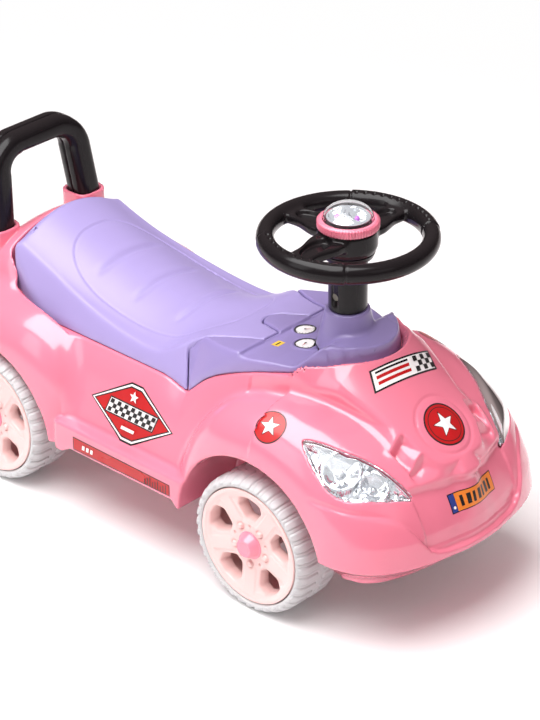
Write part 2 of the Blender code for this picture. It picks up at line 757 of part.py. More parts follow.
def swing_space():
    """The space ahead of the seat's front walls that they must leave free to swing up past the dash."""
    edge = [(x, y) for x, y in seat_outline() if y < SEAT_TIP_Y + 0.02]
    stations = [x for x, _ in edge]
    rings = []
    for x in [-x for x in reversed(stations[1:])] + stations:
        y = float(np.interp(abs(x), stations, [y for _, y in edge]))
        top = float(dash_top(x, y - SEAM_GAP))
        reach = math.hypot(y - HINGE_Y, top - HINGE_Z)
        ring = []
        for step in range(5):
            z = top - (top - SHOULDER_Z + 0.03) * step / 4
            ring.append((x, HINGE_Y - math.sqrt(reach**2 - (z - HINGE_Z) ** 2), z))
        ring += [(x, DASH_FRONT_Y, SHOULDER_Z - 0.03), (x, DASH_FRONT_Y, top)]
        rings.append(ring)
    return ring_solid("swing_space", rings, None)


def seat_lid():
    outline = mirrored(seat_outline())
    stations = np.linspace(DASH_REAR_Y - 0.008, SEAT_REAR_Y + 0.001, 23)

    def wide(y):
        return SEAT_HALF_WIDTH + 0.0006

    def inner_wide(y):
        return SEAT_HALF_WIDTH - LID_WALL

    def under(x, y):
        return seat_top(np.abs(x) + LID_WALL, y + (LID_WALL if y > 0.2 else 0)) - LID_WALL

    def open_below(y):
        return SHOULDER_Z - 0.088

    lid = lid_block("seat_lid", stations, wide, seat_top, lid_underside, 10, LILAC)
    boolean(lid, plan_prism("seat_keep", outline, 0.1, 0.4), "INTERSECT")
    hollow = lid_block("seat_hollow", stations, inner_wide, under, open_below, 8)
    inner_keep = plan_prism("seat_inner_keep", offset(outline, -LID_WALL), 0.08, 0.45)
    boolean(hollow, inner_keep, "INTERSECT")
    cut(lid, hollow)
    half = HINGE_WIDTH / 2
    for side in (-1, 1):
        knuckle_x = side * HINGE_KNUCKLE_X
        low_corner = (knuckle_x - half, HINGE_Y - 0.004, HINGE_Z - 0.004)
        high_corner = (knuckle_x + half, HINGE_Y + 0.004, HINGE_Z + 0.0085)
        join(lid, block(f"lid_knuckle_{side}", low_corner, high_corner, None))
        post_x = side * HINGE_POST_X
        low_corner = (post_x - half - 0.001, HINGE_Y + 0.002, SHOULDER_Z)
        high_corner = (post_x + half + 0.001, SEAT_REAR_Y + 0.005, HINGE_Z + 0.002)
        cut(lid, block(f"lid_notch_{side}", low_corner, high_corner, None))
    bore_end = HINGE_POST_X + 0.011
    bore_radius = HINGE_PIN_RADIUS + SEAT_GAP
    cut(lid, across("lid_bore", -bore_end, bore_end, HINGE_Y, HINGE_Z, bore_radius, None, 12))
    cut(lid, swing_space())
    use_manifold(lid, hollow)
    return lid


def dash_panel():
    outline = mirrored(seat_outline())
    stations = [*front_stations(0.012), SEAT_TIP_Y + 0.0155]
    dash = lid_block("dash_panel", stations, dash_half, dash_top, lid_underside, 12, PURPLE)
    cone_top = COLUMN_BOTTOM_Z - 0.001
    foot = CONE_BASE_Z - 0.012
    cone = [(0, foot), (CONE_BASE_RADIUS + 0.004, foot), (CONE_BASE_RADIUS, CONE_BASE_Z + 0.009)]
    cone += [(CONE_TOP_RADIUS, cone_top), (0, cone_top)]
    join(dash, turned("dash_cone", cone, (0, COLUMN_Y, 0), (0, 0, 1), None, 28))

    def under(x, y):
        return dash_top(np.abs(x) + LID_WALL, y - 0.002) - LID_WALL

    def inner_wide(y):
        return float(dash_half(y)) - LID_WALL

    def open_below(y):
        return SHOULDER_Z - 0.088

    inner_stations = [y for y in stations if dash_half(y) > 0.02] + [SEAT_TIP_Y + 0.03]
    hollow = lid_block("dash_hollow", inner_stations, inner_wide, under, open_below, 8)
    inside = CONE_BASE_RADIUS - LID_WALL
    narrow = CONE_TOP_RADIUS - LID_WALL
    space_top = cone_top - 0.004
    space = [(0, 0.2), (inside, 0.2), (inside, CONE_BASE_Z), (narrow, space_top), (0, space_top)]
    bore = turned("cone_hollow", space, (0, COLUMN_Y, 0), (0, 0, 1), None, 24)
    hole_low = (0, COLUMN_Y, cone_top - 0.013)
    hole = rod("cone_hole", hole_low, (0, COLUMN_Y, cone_top + 0.017), ROD_RADIUS + RUNNING_GAP, None)
    behind = plan_prism("dash_behind", offset(outline, SEAM_GAP), 0.08, 0.45)
    cut(dash, hollow, bore, hole, behind)
    use_manifold(dash)
    return dash


def storage_tray():
    inner = TRAY_HALF_WIDTH - SEAT_GAP - TRAY_WALL
    top = SHOULDER_Z - RECESS_DEPTH + SEAT_GAP
    front = TRAY_FRONT_Y + SEAT_GAP
    rear = TRAY_REAR_Y - SEAT_GAP
    outer = inner + TRAY_WALL
    tray = block("storage_tray", (-outer, front, TRAY_FLOOR_Z), (outer, rear, top + 0.001), TRAY_GREY)
    flange_low = (-outer - TRAY_FLANGE, front - TRAY_FLANGE, top)
    flange_high = (outer + TRAY_FLANGE, rear + TRAY_FLANGE, top + 0.002)
    join(tray, block("tray_flange", flange_low, flange_high, None))
    space_low = (-inner, front + TRAY_WALL, TRAY_FLOOR_Z + TRAY_WALL)
    cut(tray, block("tray_space", space_low, (inner, rear - TRAY_WALL, top + 0.02), None))
    return tray


def floor_pan():
    """The plate that closes the underside, between the wheel pockets and wide under the seat."""
    low = CROSS_TOP_Z + SEAT_GAP
    narrow = FRONT_POCKET_X - WALL - SEAT_GAP
    rear_half = REAR_POCKET_X - 0.012 - SEAT_GAP
    front_gap = math.sqrt((FRONT_ARCH_RADIUS + WALL) ** 2 - (low - TYRE_RADIUS) ** 2)
    rear_gap = math.sqrt((REAR_ARCH_RADIUS + WALL) ** 2 - (low - TYRE_RADIUS) ** 2)
    wide_front = FRONT_AXLE_Y + front_gap + 0.002
    wide_rear = REAR_AXLE_Y - rear_gap - 0.002
    wide = WAIST_HALF - 0.004
    right = [(narrow, -0.236), (narrow, wide_front), (wide, wide_front), (wide, wide_rear)]
    right += [(rear_half, wide_rear), (rear_half, REAR_AXLE_Y + 0.02)]
    pan = plan_prism("floor_pan", mirrored(right), low, low + PAN_THICKNESS, PINK)
    cut(pan, rod("pan_hole", (0, COLUMN_Y, 0.08), (0, COLUMN_Y, 0.11), ROD_RADIUS + 0.002, None))
    return pan


# Lamps


def lamp_pieces(side, word):
    way = np.array(lamp_way(side))
    outline = np.array(lamp_outline(side, SEAT_GAP))
    middle = outline.mean(0)
    rings = []
    for share in (0.0, 0.55, 1.0):
        spots = middle + (outline - middle) * share
        spots = spots[:1] if share == 0 else spots
        start = spots - way * 0.02
        skin = np.array([march(s, way[None, :], 0.0, 0.0, 0.05)[0] for s in start])
        rings.append(start + way * (skin[:, None]))
    lift = SEAT_GAP
    back = [ring - way * (LENS_THICKNESS + 0.0005) for ring in reversed(rings)]
    front = [[tuple(p + way * lift) for p in ring] for ring in rings]
    behind = [[tuple(p) for p in ring] for ring in back]
    lens = ring_solid(f"headlight_lens_{word}", front + behind, CLEAR)
    bowl = []
    drop = LENS_THICKNESS + 0.0005 + SEAT_GAP
    for share, deep in ((0.97, drop), (0.75, LAMP_DEPTH * 0.75), (0.4, LAMP_DEPTH)):
        spots = rings[2] + (rings[0][0] - rings[2]) * (1 - share)
        bowl.append([tuple(p - way * deep) for p in spots])
    under = []
    thick = REFLECTOR_THICKNESS
    for share, deep in ((0.4, LAMP_DEPTH + thick), (0.77, LAMP_DEPTH * 0.75 + thick), (0.995, drop + thick)):
        spots = rings[2] + (rings[0][0] - rings[2]) * (1 - share)
        under.append([tuple(p - way * deep) for p in spots])
    bottom = [tuple(rings[0][0] - way * LAMP_DEPTH)]
    bottom_back = [tuple(rings[0][0] - way * (LAMP_DEPTH + thick))]
    ring_list = [bottom, bowl[2], bowl[1], bowl[0], under[2], under[1], under[0], bottom_back]
    reflector = ring_solid(f"headlight_reflector_{word}", ring_list, CHROME)
    return lens, reflector


# Wheels


def tyre(name, x, y, side):
    half = TYRE_WIDTH / 2
    inner = DISC_RADIUS + SEAT_GAP
    crown = TYRE_RADIUS
    drop = TYRE_SHOULDER * 0.30
    profile = [(inner, -half + 0.002), (inner + 0.003, -half), (crown - TYRE_SHOULDER * 0.55, -half)]
    profile += [(crown - drop, -half + TYRE_SHOULDER * 0.35), (crown - 0.0004, -half + TYRE_SHOULDER)]
    profile += [(crown - 0.0004, half - TYRE_SHOULDER), (crown - drop, half - TYRE_SHOULDER * 0.35)]
    profile += [(crown - TYRE_SHOULDER * 0.55, half), (inner + 0.003, half), (inner, half - 0.002)]
    tread = {3, 4, 5, 6}

    def groove(step, i):
        return GROOVE_DEPTH if step in tread and i % 2 else 0

    centre = (x, y, TYRE_RADIUS)
    return turned(name, profile, centre, (side, 0, 0), TYRE_GREY, TREAD_GROOVES * 2, None, groove)


def hub_face():
    """Distance from the tyre's middle to the face that the hub cap sits on."""
    return TYRE_WIDTH / 2 - DISC_INSET - DISC_DISH + HUB_RISE


def wheel_disc(name, x, y, side):
    half = TYRE_WIDTH / 2
    face = half - DISC_INSET
    hub = hub_face()
    recess_z = hub - HUB_RECESS
    bore = AXLE_RADIUS + FIT
    inner_end = -(half - 0.003)
    cup = WASHER_RADIUS + 0.001
    flange = DISC_RADIUS - 0.006
    barrel = DISC_RADIUS - DISC_WALL - 0.001
    profile = [(bore, inner_end), (HUB_OUTER, inner_end), (HUB_OUTER, hub - 0.0045)]
    profile += [(barrel - 0.012, face - DISC_DISH - DISC_WALL), (barrel, face - DISC_DISH)]
    profile += [(barrel, inner_end), (DISC_RADIUS, inner_end), (DISC_RADIUS, face)]
    profile += [(flange, face + 0.0003), (flange - 0.006, face - DISC_DISH + 0.0015)]
    profile += [(CAP_RADIUS + 0.006, face - DISC_DISH), (CAP_RADIUS, hub)]
    profile += [(cup, hub), (cup, recess_z), (bore, recess_z)]
    centre = (x, y, TYRE_RADIUS)
    disc = turned(name, profile, centre, (side, 0, 0), SALMON, 20)
    points = []
    faces = []
    for spoke in range(SPOKES):
        angle = 2 * math.pi * spoke / SPOKES
        base = len(points)
        wide_at = (WINDOW_INNER + WINDOW_OUTER) / 2 + 0.0015
        kite = [(WINDOW_INNER, 0), (wide_at, WINDOW_HALF), (WINDOW_OUTER, WINDOW_HALF * 0.72)]
        kite += [(WINDOW_OUTER, -WINDOW_HALF * 0.72), (wide_at, -WINDOW_HALF)]
        for along in (0.004, half + 0.01):
            for reach, wide in kite:
                turn_y = reach * math.sin(angle) + wide * math.cos(angle)
                turn_z = reach * math.cos(angle) - wide * math.sin(angle)
                points.append((x + side * along, y + turn_y, TYRE_RADIUS + turn_z))
        faces.append(tuple(base + i for i in range(5)))
        faces.append(tuple(base + 9 - i for i in range(5)))
        for i in range(5):
            j = (i + 1) % 5
            faces.append((base + i, base + 5 + i, base + 5 + j, base + j))
    cut(disc, add_object(name + "_windows", points, faces, None))
    return disc


def wheel(place, word, y, side):
    x = side * (TYRE_OUTER_X - TYRE_WIDTH / 2)
    end = f"{place}_{word}"
    tyre(f"tyre_{end}", x, y, side)
    wheel_disc(f"wheel_disc_{end}", x, y, side)
    hub = hub_face()
    low = hub + SEAT_GAP
    cap = [(0, low), (CAP_RADIUS, low), (CAP_RADIUS, low + CAP_FLANGE), (CAP_KNOB_RADIUS, low + CAP_FLANGE)]
    cap += [(CAP_TOP_RADIUS, low + CAP_HEIGHT), (0, low + CAP_HEIGHT)]
    turned(f"hub_cap_{end}", cap, (x, y, TYRE_RADIUS), (side, 0, 0), PINK, 24)
    washer_low = hub - HUB_RECESS + SEAT_GAP
    bore = AXLE_RADIUS + SEAT_GAP
    washer_high = washer_low + WASHER_THICKNESS
    washer = [(bore, washer_low), (WASHER_RADIUS, washer_low)]
    washer += [(WASHER_RADIUS, washer_high), (bore, washer_high)]
    turned(f"axle_washer_{end}", washer, (x, y, TYRE_RADIUS), (side, 0, 0), STEEL, 20)


def axle_end():
    """Distance from the car's middle to the end of an axle, just short of the hub cap."""
    return TYRE_OUTER_X - TYRE_WIDTH / 2 + hub_face() - 0.002


def hub_inner_x():
    return TYRE_OUTER_X - TYRE_WIDTH + 0.003


# Steering


def cross_member():
    """Carries the kingpins and the lower end of the steering rod."""
    low_top = CROSS_LOW_Z + CROSS_LOW_THICKNESS
    high_low = CROSS_TOP_Z - CROSS_TOP_THICKNESS
    low_corner = (-CROSS_HALF, CROSS_FRONT_Y, CROSS_LOW_Z)
    member = block("cross_member", low_corner, (CROSS_HALF, CROSS_REAR_Y, low_top), STEEL)
    high_corner = (CROSS_HALF, CROSS_REAR_Y, CROSS_TOP_Z)
    top = block("cross_top", (-CROSS_HALF, CROSS_FRONT_Y, high_low), high_corner, None)
    web_low = (-CROSS_WEB_HALF, CROSS_FRONT_Y + 0.001, low_top - 0.001)
    web_high = (CROSS_WEB_HALF, CROSS_REAR_Y - 0.003, high_low + 0.001)
    join(member, top, block("cross_web", web_low, web_high, None))
    for side in (-1, 1):
        pin = (side * KINGPIN_X, FRONT_AXLE_Y)
        bore = KINGPIN_RADIUS + SEAT_GAP
        cut(member, rod(f"kingpin_bore_{side}", (*pin, 0.04), (*pin, 0.11), bore, None))
    rod_bore = ROD_RADIUS + RUNNING_GAP
    cut(member, rod("steering_bore", (0, COLUMN_Y, 0.04), (0, COLUMN_Y, 0.11), rod_bore, None))
    return member


def knuckle(word, side):
    """A steering knuckle with its arm and tie-rod pin, its stub axle and the kingpin that it turns on."""
    x = side * KINGPIN_X
    axle_way = (FRONT_AXLE_Y, TYRE_RADIUS)
    low = CROSS_LOW_Z + CROSS_LOW_THICKNESS + SEAT_GAP
    high = CROSS_TOP_Z - CROSS_TOP_THICKNESS - SEAT_GAP
    bottom = (x, FRONT_AXLE_Y, low)
    top = (x, FRONT_AXLE_Y, high)
    piece = rod(f"steering_knuckle_{word}", bottom, top, KNUCKLE_RADIUS, STEEL, 16)
    end = side * (hub_inner_x() - SEAT_GAP)
    boss_radius = KNUCKLE_RADIUS + 0.0008
    join(piece, across(f"knuckle_boss_{word}", x + side * 0.001, end, *axle_way, boss_radius, None, 16))
    bar_low = TIE_BAR_Z - TIE_BAR_HEIGHT / 2
    arm_low = TIE_BAR_Z + TIE_BAR_HEIGHT / 2 + RUNNING_GAP
    pin_y = FRONT_AXLE_Y + KNUCKLE_ARM
    low_corner = (x - KNUCKLE_ARM_WIDTH / 2, FRONT_AXLE_Y + 0.002, arm_low)
    high_corner = (x + KNUCKLE_ARM_WIDTH / 2, pin_y + 0.005, arm_low + 0.004)
    join(piece, block(f"knuckle_arm_{word}", low_corner, high_corner, None))
    pin_top = (x, pin_y, arm_low + 0.001)
    join(piece, rod(f"knuckle_pin_{word}", (x, pin_y, bar_low), pin_top, LINK_PIN_RADIUS, None, 12))
    bore = KINGPIN_RADIUS + SEAT_GAP
    bore_ends = ((x, FRONT_AXLE_Y, 0.03), (x, FRONT_AXLE_Y, 0.12))
    cut(piece, rod(f"knuckle_bore_{word}", *bore_ends, bore, None))
    stub_start = side * (KINGPIN_X + KNUCKLE_RADIUS + 0.0005)
    stub_bore = AXLE_RADIUS + SEAT_GAP
    cut(piece, across(f"stub_bore_{word}", stub_start, side * 0.12, *axle_way, stub_bore, None, 20))
    stub_low = stub_start + side * SEAT_GAP
    across(f"stub_axle_{word}", stub_low, side * axle_end(), *axle_way, AXLE_RADIUS, BRIGHT, 16)
    head = CROSS_TOP_Z + SEAT_GAP
    foot = CROSS_LOW_Z - 0.002
    profile = [(0, foot), (KINGPIN_RADIUS, foot), (KINGPIN_RADIUS, head), (KINGPIN_HEAD, head)]
    profile += [(KINGPIN_HEAD, head + 0.0018), (0, head + 0.0018)]
    turned(f"kingpin_{word}", profile, (x, FRONT_AXLE_Y, 0), (0, 0, 1), BRIGHT, 16)
    return piece


def tie_rod():
    pin_y = FRONT_AXLE_Y + KNUCKLE_ARM
    low = TIE_BAR_Z - TIE_BAR_HEIGHT / 2
    high = TIE_BAR_Z + TIE_BAR_HEIGHT / 2
    half = KINGPIN_X + TIE_BAR_WIDTH / 2
    low_corner = (-half, pin_y - TIE_BAR_WIDTH / 2, low)
    bar = block("tie_rod", low_corner, (half, pin_y + TIE_BAR_WIDTH / 2, high), STEEL)
    crank_y = COLUMN_Y + CRANK_ARM
    join(bar, block("tie_tab", (-0.009, crank_y - 0.0075, low), (0.009, pin_y, high), None))
    gap = LINK_PIN_RADIUS + RUNNING_GAP
    slots = [(0, crank_y - 0.0015)] + [(side * KINGPIN_X, pin_y) for side in (-1, 1)]
    for number, (x, y) in enumerate(slots):
        low_corner = (x - gap, y - gap - 0.0015, low - 0.01)
        high_corner = (x + gap, y + gap + 0.0015, high + 0.01)
        cut(bar, block(f"tie_slot_{number}", low_corner, high_corner, None))
    return bar


def steering_rod():
    centre = (0, COLUMN_Y, 0)
    rod_top = COLUMN_TOP_Z - 0.004
    profile = [(0, ROD_BOTTOM_Z), (ROD_RADIUS, ROD_BOTTOM_Z), (ROD_RADIUS, rod_top), (0, rod_top)]
    made = turned("steering_rod", profile, centre, (0, 0, 1), BRIGHT, 16, centre)
    crank_y = COLUMN_Y + CRANK_ARM
    high_corner = (ROD_RADIUS, crank_y + ROD_RADIUS, ROD_BOTTOM_Z + CRANK_THICKNESS)
    arm = block("crank_arm", (-ROD_RADIUS, COLUMN_Y, ROD_BOTTOM_Z), high_corner, None)
    pin_top = TIE_BAR_Z + TIE_BAR_HEIGHT / 2
    pin_low = (0, crank_y, ROD_BOTTOM_Z + 0.001)
    join(made, arm, rod("crank_pin", pin_low, (0, crank_y, pin_top), LINK_PIN_RADIUS, None, 12))
    low = CROSS_TOP_Z + SEAT_GAP + PAN_THICKNESS + SEAT_GAP
    bore = ROD_RADIUS + SEAT_GAP
    collar = [(bore, low), (bore + 0.004, low), (bore + 0.004, low + 0.005), (bore, low + 0.005)]
    turned("rod_collar", collar, centre, (0, 0, 1), STEEL, 20, centre)
    return made


def steering_column():
    centre = (0, COLUMN_Y, 0)
    bore = ROD_RADIUS + SEAT_GAP
    low = COLUMN_BOTTOM_Z + SEAT_GAP
    profile = [(bore, low), (COLUMN_RADIUS, low), (COLUMN_RADIUS, COLUMN_TOP_Z), (bore, COLUMN_TOP_Z)]
    column = turned("steering_column", profile, centre, (0, 0, 1), BLACK, 32, centre)
    head_in = COLUMN_RADIUS - 0.004
    hole_radius = SCREW_RADIUS + SEAT_GAP
    outside = -COLUMN_RADIUS - 0.011
    cut(column, across("screw_hole", outside, -0.001, COLUMN_Y, SCREW_Z, hole_radius, None, 12))
    recess_radius = SCREW_HEAD + SEAT_GAP
    cut(column, across("screw_recess", outside, -head_in, COLUMN_Y, SCREW_Z, recess_radius, None, 16))
    start = head_in + SEAT_GAP
    profile = [(0, 0), (SCREW_HEAD, 0), (SCREW_HEAD, 0.0025), (0, 0.0025)]
    head = turned("column_screw", profile, (-start, COLUMN_Y, SCREW_Z), (-1, 0, 0), BRIGHT, 16, centre)
    shank = (-start - 0.0005, -bore - 0.0002)
    join(head, across("screw_shank", *shank, COLUMN_Y, SCREW_Z, SCREW_RADIUS, None, 12))
    return column


def spoke(name, angle):
    """One spoke, from under the hub to the rim."""
    rings = []
    for reach, wide, thick, z in (
        (HUB_RADIUS * 0.72, SPOKE_WIDTH * 1.25, SPOKE_THICKNESS * 1.1, HUB_TOP_Z - 0.0085),
        (HUB_RADIUS * 1.3, SPOKE_WIDTH * 1.1, SPOKE_THICKNESS, HUB_TOP_Z - 0.009),
        (RIM_RADIUS, SPOKE_WIDTH, SPOKE_THICKNESS * 0.9, RIM_Z),
    ):
        ring = []
        for across_way, up in rounded_section(wide / 2, thick / 2, 12):
            x = reach * math.cos(angle) - across_way * math.sin(angle)
            y = reach * math.sin(angle) + across_way * math.cos(angle)
            ring.append((x, COLUMN_Y + y, z + up))
        rings.append(ring)
    return ring_solid(name, rings, None)


def steering_wheel():
    """The rim with its spokes and cupped hub, and the cover that closes the hub from below."""
    centre = (0, COLUMN_Y, 0)
    profile = []
    for step in range(10):
        angle = 2 * math.pi * step / 10
        profile.append((RIM_RADIUS + RIM_TUBE * math.cos(angle), RIM_Z + RIM_TUBE * math.sin(angle)))
    made = turned("steering_wheel", profile, centre, (0, 0, 1), BLACK, 40, centre)
    low = COLUMN_TOP_Z + SEAT_GAP
    narrow = HUB_RADIUS - 0.002
    hub = [(0, low), (narrow, low), (HUB_RADIUS, low + 0.008), (HUB_RADIUS, HUB_TOP_Z), (0, HUB_TOP_Z)]
    for number, angle in enumerate((0, math.pi / 2, math.pi)):
        join(made, spoke(f"spoke_{number}", angle))
    join(made, turned("wheel_hub", hub, centre, (0, 0, 1), None, 32))
    cup_low = (0, COLUMN_Y, low + HUB_WALL)
    cup_high = (0, COLUMN_Y, HUB_TOP_Z + 0.02)
    cut(made, rod("hub_space", cup_low, cup_high, HUB_RADIUS - HUB_WALL, None, 32))
    bore = COLUMN_RADIUS + SEAT_GAP
    top = low - SEAT_GAP
    cover = [(bore, low - 0.006), (narrow - 0.002, low - 0.006), (narrow, top), (bore, top)]
    turned("wheel_under_cover", cover, centre, (0, 0, 1), BLACK, 32, centre)
    return made


def horn_button():
    """The sound box in the hub, its reflector, the ring on the hub and the clear dome that presses down."""
    centre = (0, COLUMN_Y, 0)
    module_low = COLUMN_TOP_Z + HUB_WALL + 2 * SEAT_GAP
    dome_low = HUB_TOP_Z + 0.005
    module_top = dome_low - HORN_TRAVEL - 0.001
    module_ends = ((0, COLUMN_Y, module_low), (0, COLUMN_Y, module_top))
    rod("sound_module", *module_ends, DOME_RADIUS - 0.001, DARK_GREY, 24, centre)
    inside = DOME_RADIUS + SEAT_GAP
    bezel_low = HUB_TOP_Z + SEAT_GAP
    bezel_top = bezel_low + BEZEL_HEIGHT
    bezel = [(inside, bezel_low), (BEZEL_RADIUS - 0.001, bezel_low), (BEZEL_RADIUS, bezel_low + 0.002)]
    bezel += [(BEZEL_RADIUS - 0.001, bezel_top - 0.001), (BEZEL_RADIUS - 0.0025, bezel_top)]
    bezel += [(inside, bezel_top)]
    turned("bezel_ring", bezel, centre, (0, 0, 1), PINK, 28, centre)
    skirt = HUB_TOP_Z + BEZEL_HEIGHT + 0.001
    inner_radius = DOME_RADIUS - DOME_WALL
    inner_height = DOME_HEIGHT - DOME_WALL
    outer = [(DOME_RADIUS, dome_low), (DOME_RADIUS, skirt)]
    inner = [(inner_radius, skirt), (inner_radius, dome_low)]
    for step in range(1, 4):
        angle = math.pi / 2 * step / 4
        outer.append((DOME_RADIUS * math.cos(angle), skirt + DOME_HEIGHT * math.sin(angle)))
        inner.insert(0, (inner_radius * math.cos(angle), skirt + inner_height * math.sin(angle)))
    shape = [(0, skirt + inner_height), *inner, *outer, (0, skirt + DOME_HEIGHT)]
    turned("horn_dome", shape, centre, (0, 0, 1), CLEAR, 24, centre)
    base = module_top + SEAT_GAP
    cone = [(0, base), (0.018, base), (0.018, base + 0.001), (0.006, base + 0.0085), (0, base + 0.0085)]
    turned("horn_reflector", cone, centre, (0, 0, 1), CHROME, 24, centre)


def rear_bush(word, side):
    bore = AXLE_RADIUS + SEAT_GAP
    inner_end = REAR_POCKET_X - 0.013
    flange_low = REAR_POCKET_X + SEAT_GAP
    flange_high = flange_low + 0.003
    outer_end = hub_inner_x() - SEAT_GAP
    bush = [(bore, inner_end), (BUSH_RADIUS, inner_end), (BUSH_RADIUS, flange_low)]
    bush += [(BUSH_FLANGE, flange_low), (BUSH_FLANGE, flange_high), (BUSH_RADIUS, flange_high)]
    bush += [(BUSH_RADIUS, outer_end), (bore, outer_end)]
    turned(f"rear_bush_{word}", bush, (0, REAR_AXLE_Y, TYRE_RADIUS), (side, 0, 0), BLACK, 24)


bpy.context.preferences.edit.use_global_undo = False
for old in list(bpy.data.objects):
    bpy.data.objects.remove(old)

PINK = material("pink_plastic", (0.93, 0.33, 0.45), 0.25)
LILAC = material("lilac_plastic", (0.62, 0.53, 0.85), 0.40)
PURPLE = material("purple_plastic", (0.45, 0.36, 0.75), 0.38)
BLACK = material("black_plastic", (0.012, 0.012, 0.013), 0.22)
TYRE_GREY = material("grey_tyre", (0.56, 0.57, 0.58), 0.45)
SALMON = material("salmon_plastic", (0.84, 0.505, 0.46), 0.32)
STEEL = material("zinc_steel", (0.55, 0.55, 0.56), 0.40, 1.0)
BRIGHT = material("bright_steel", (0.75, 0.75, 0.76), 0.20, 1.0)
CHROME = material("chrome_film", (0.85, 0.86, 0.88), 0.08, 1.0)
CLEAR = material("clear_plastic", (0.95, 0.96, 0.97), 0.05, 0.0, 1.0)
TRAY_GREY = material("tray_plastic", (0.30, 0.30, 0.32), 0.50)
DARK_GREY = material("module_plastic", (0.05, 0.05, 0.055), 0.50)

body_shell()
floor_pan()
storage_tray()
seat_lid()
across("seat_hinge_pin", -0.0275, 0.0275, HINGE_Y, HINGE_Z, HINGE_PIN_RADIUS, BRIGHT, 12)
dash_panel()
handle_half("push_handle_front", -1, BLACK)
handle_half("push_handle_rear", 1, BLACK)
cross_member()
tie_rod()
steering_rod()
steering_column()
steering_wheel()
horn_button()
across("rear_axle", -axle_end(), axle_end(), REAR_AXLE_Y, TYRE_RADIUS, AXLE_RADIUS, BRIGHT, 16)
for side, word in ((-1, "right"), (1, "left")):
    lamp_pieces(side, word)
    knuckle(word, side)
    wheel("front", word, FRONT_AXLE_Y, side)
    wheel("rear", word, REAR_AXLE_Y, side)
    rear_bush(word, side)
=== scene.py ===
"""Looks of the kids push car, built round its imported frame.

The front of the car faces -Y, the ground is Z = 0 and the car is symmetric about X = 0.
"""

import math

import bmesh
import bpy
import numpy as np
from mathutils import Matrix, Vector
from mathutils.bvhtree import BVHTree


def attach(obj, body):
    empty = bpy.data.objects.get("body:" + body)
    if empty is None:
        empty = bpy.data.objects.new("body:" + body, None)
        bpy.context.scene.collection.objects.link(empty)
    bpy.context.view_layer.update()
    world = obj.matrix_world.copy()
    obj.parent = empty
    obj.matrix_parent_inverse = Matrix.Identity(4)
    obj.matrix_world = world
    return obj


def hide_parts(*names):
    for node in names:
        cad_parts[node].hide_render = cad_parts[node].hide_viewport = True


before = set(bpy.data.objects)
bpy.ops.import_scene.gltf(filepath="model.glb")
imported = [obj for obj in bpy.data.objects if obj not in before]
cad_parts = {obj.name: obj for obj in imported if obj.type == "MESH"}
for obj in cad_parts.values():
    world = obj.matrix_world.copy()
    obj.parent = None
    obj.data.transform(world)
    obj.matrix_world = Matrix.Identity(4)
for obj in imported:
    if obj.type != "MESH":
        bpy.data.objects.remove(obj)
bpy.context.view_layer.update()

# Studio
# A pale board under one large soft lamp overhead and two small ones. It isn't part of the car. The
# camera sees the board and the surroundings mixed with white, and more of it further from the car, so
# that the car's shadow stays on the board.
FLOOR_WHITE = (0.93, 0.93, 0.93, 1)
FLOOR_HALF = 9
FADE_START, FADE_END = 0.45, 1.3
WHITE_NEAR, WHITE_FAR = 0.10, 0.95
WORLD_TINT = (1, 0.78, 0.78, 1)
HORIZON_LIGHT, ZENITH_LIGHT = 0.08, 0.57
CAMERA_PLACE = (-1.7932, -1.7446, 1.5525)
CAMERA_AZIMUTH = math.radians(46.5649)
CAMERA_ELEVATION = math.radians(28.9571)
CAMERA_ROLL = math.radians(-0.4981)
CAMERA_LENS = 141.69


def node_tree(name):
    """A new material, its nodes and its main shader."""
    made = bpy.data.materials.new(name)
    made.use_nodes = True
    return made, made.node_tree, made.node_tree.nodes["Principled BSDF"]


def add_node(tree, kind, values=None, operation=None):
    """A new shader node of a kind, with values for its inputs."""
    made = tree.nodes.new("ShaderNode" + kind)
    if operation:
        made.operation = operation
    for socket, value in (values or {}).items():
        made.inputs[socket].default_value = value
    return made


def join(tree, *links):
    """Each link gives a node and the name of its output, then a node and the name of its input."""
    for source, outlet, target, inlet in links:
        tree.links.new(source.outputs[outlet], target.inputs[inlet])


def camera_white(tree, shader, output):
    """Mixes plain white into a surface where a camera ray, or a ray through glass, meets it."""
    path = add_node(tree, "LightPath")
    seen = add_node(tree, "Math", operation="MAXIMUM")
    share = add_node(tree, "Math", {1: 1.0}, "MULTIPLY")
    white = add_node(tree, "Emission", {"Color": (1, 1, 1, 1)})
    mix = add_node(tree, "MixShader")
    join(
        tree,
        (path, "Is Camera Ray", seen, 0),
        (path, "Is Transmission Ray", seen, 1),
        (seen, 0, share, 0),
        (share, 0, mix, 0),
        (shader, 0, mix, 1),
        (white, 0, mix, 2),
        (mix, 0, output, "Surface"),
    )
    return share


floor_mesh = bpy.data.meshes.new("floor")
floor_corners = [(x * FLOOR_HALF, y * FLOOR_HALF, 0) for x, y in ((-1, -1), (1, -1), (1, 1), (-1, 1))]
floor_mesh.from_pydata(floor_corners, [], [(0, 1, 2, 3)])
floor = bpy.data.objects.new("floor", floor_mesh)
bpy.context.scene.collection.objects.link(floor)
floor_paint, tree, shader = node_tree("floor_paint")
shader.inputs["Base Color"].default_value = FLOOR_WHITE
shader.inputs["Roughness"].default_value = 0.9
shader.inputs["Specular IOR Level"].default_value = 0.1
white_share = camera_white(tree, shader, tree.nodes["Material Output"])
spot = add_node(tree, "TexCoord")
from_car = add_node(tree, "VectorMath", operation="LENGTH")
fading = add_node(
    tree,
    "MapRange",
    {"From Min": FADE_START, "From Max": FADE_END, "To Min": WHITE_NEAR, "To Max": WHITE_FAR},
)
join(
    tree,
    (spot, "Object", from_car, 0),
    (from_car, "Value", fading, "Value"),
    (fading, "Result", white_share, 1),
)
floor_mesh.materials.append(floor_paint)

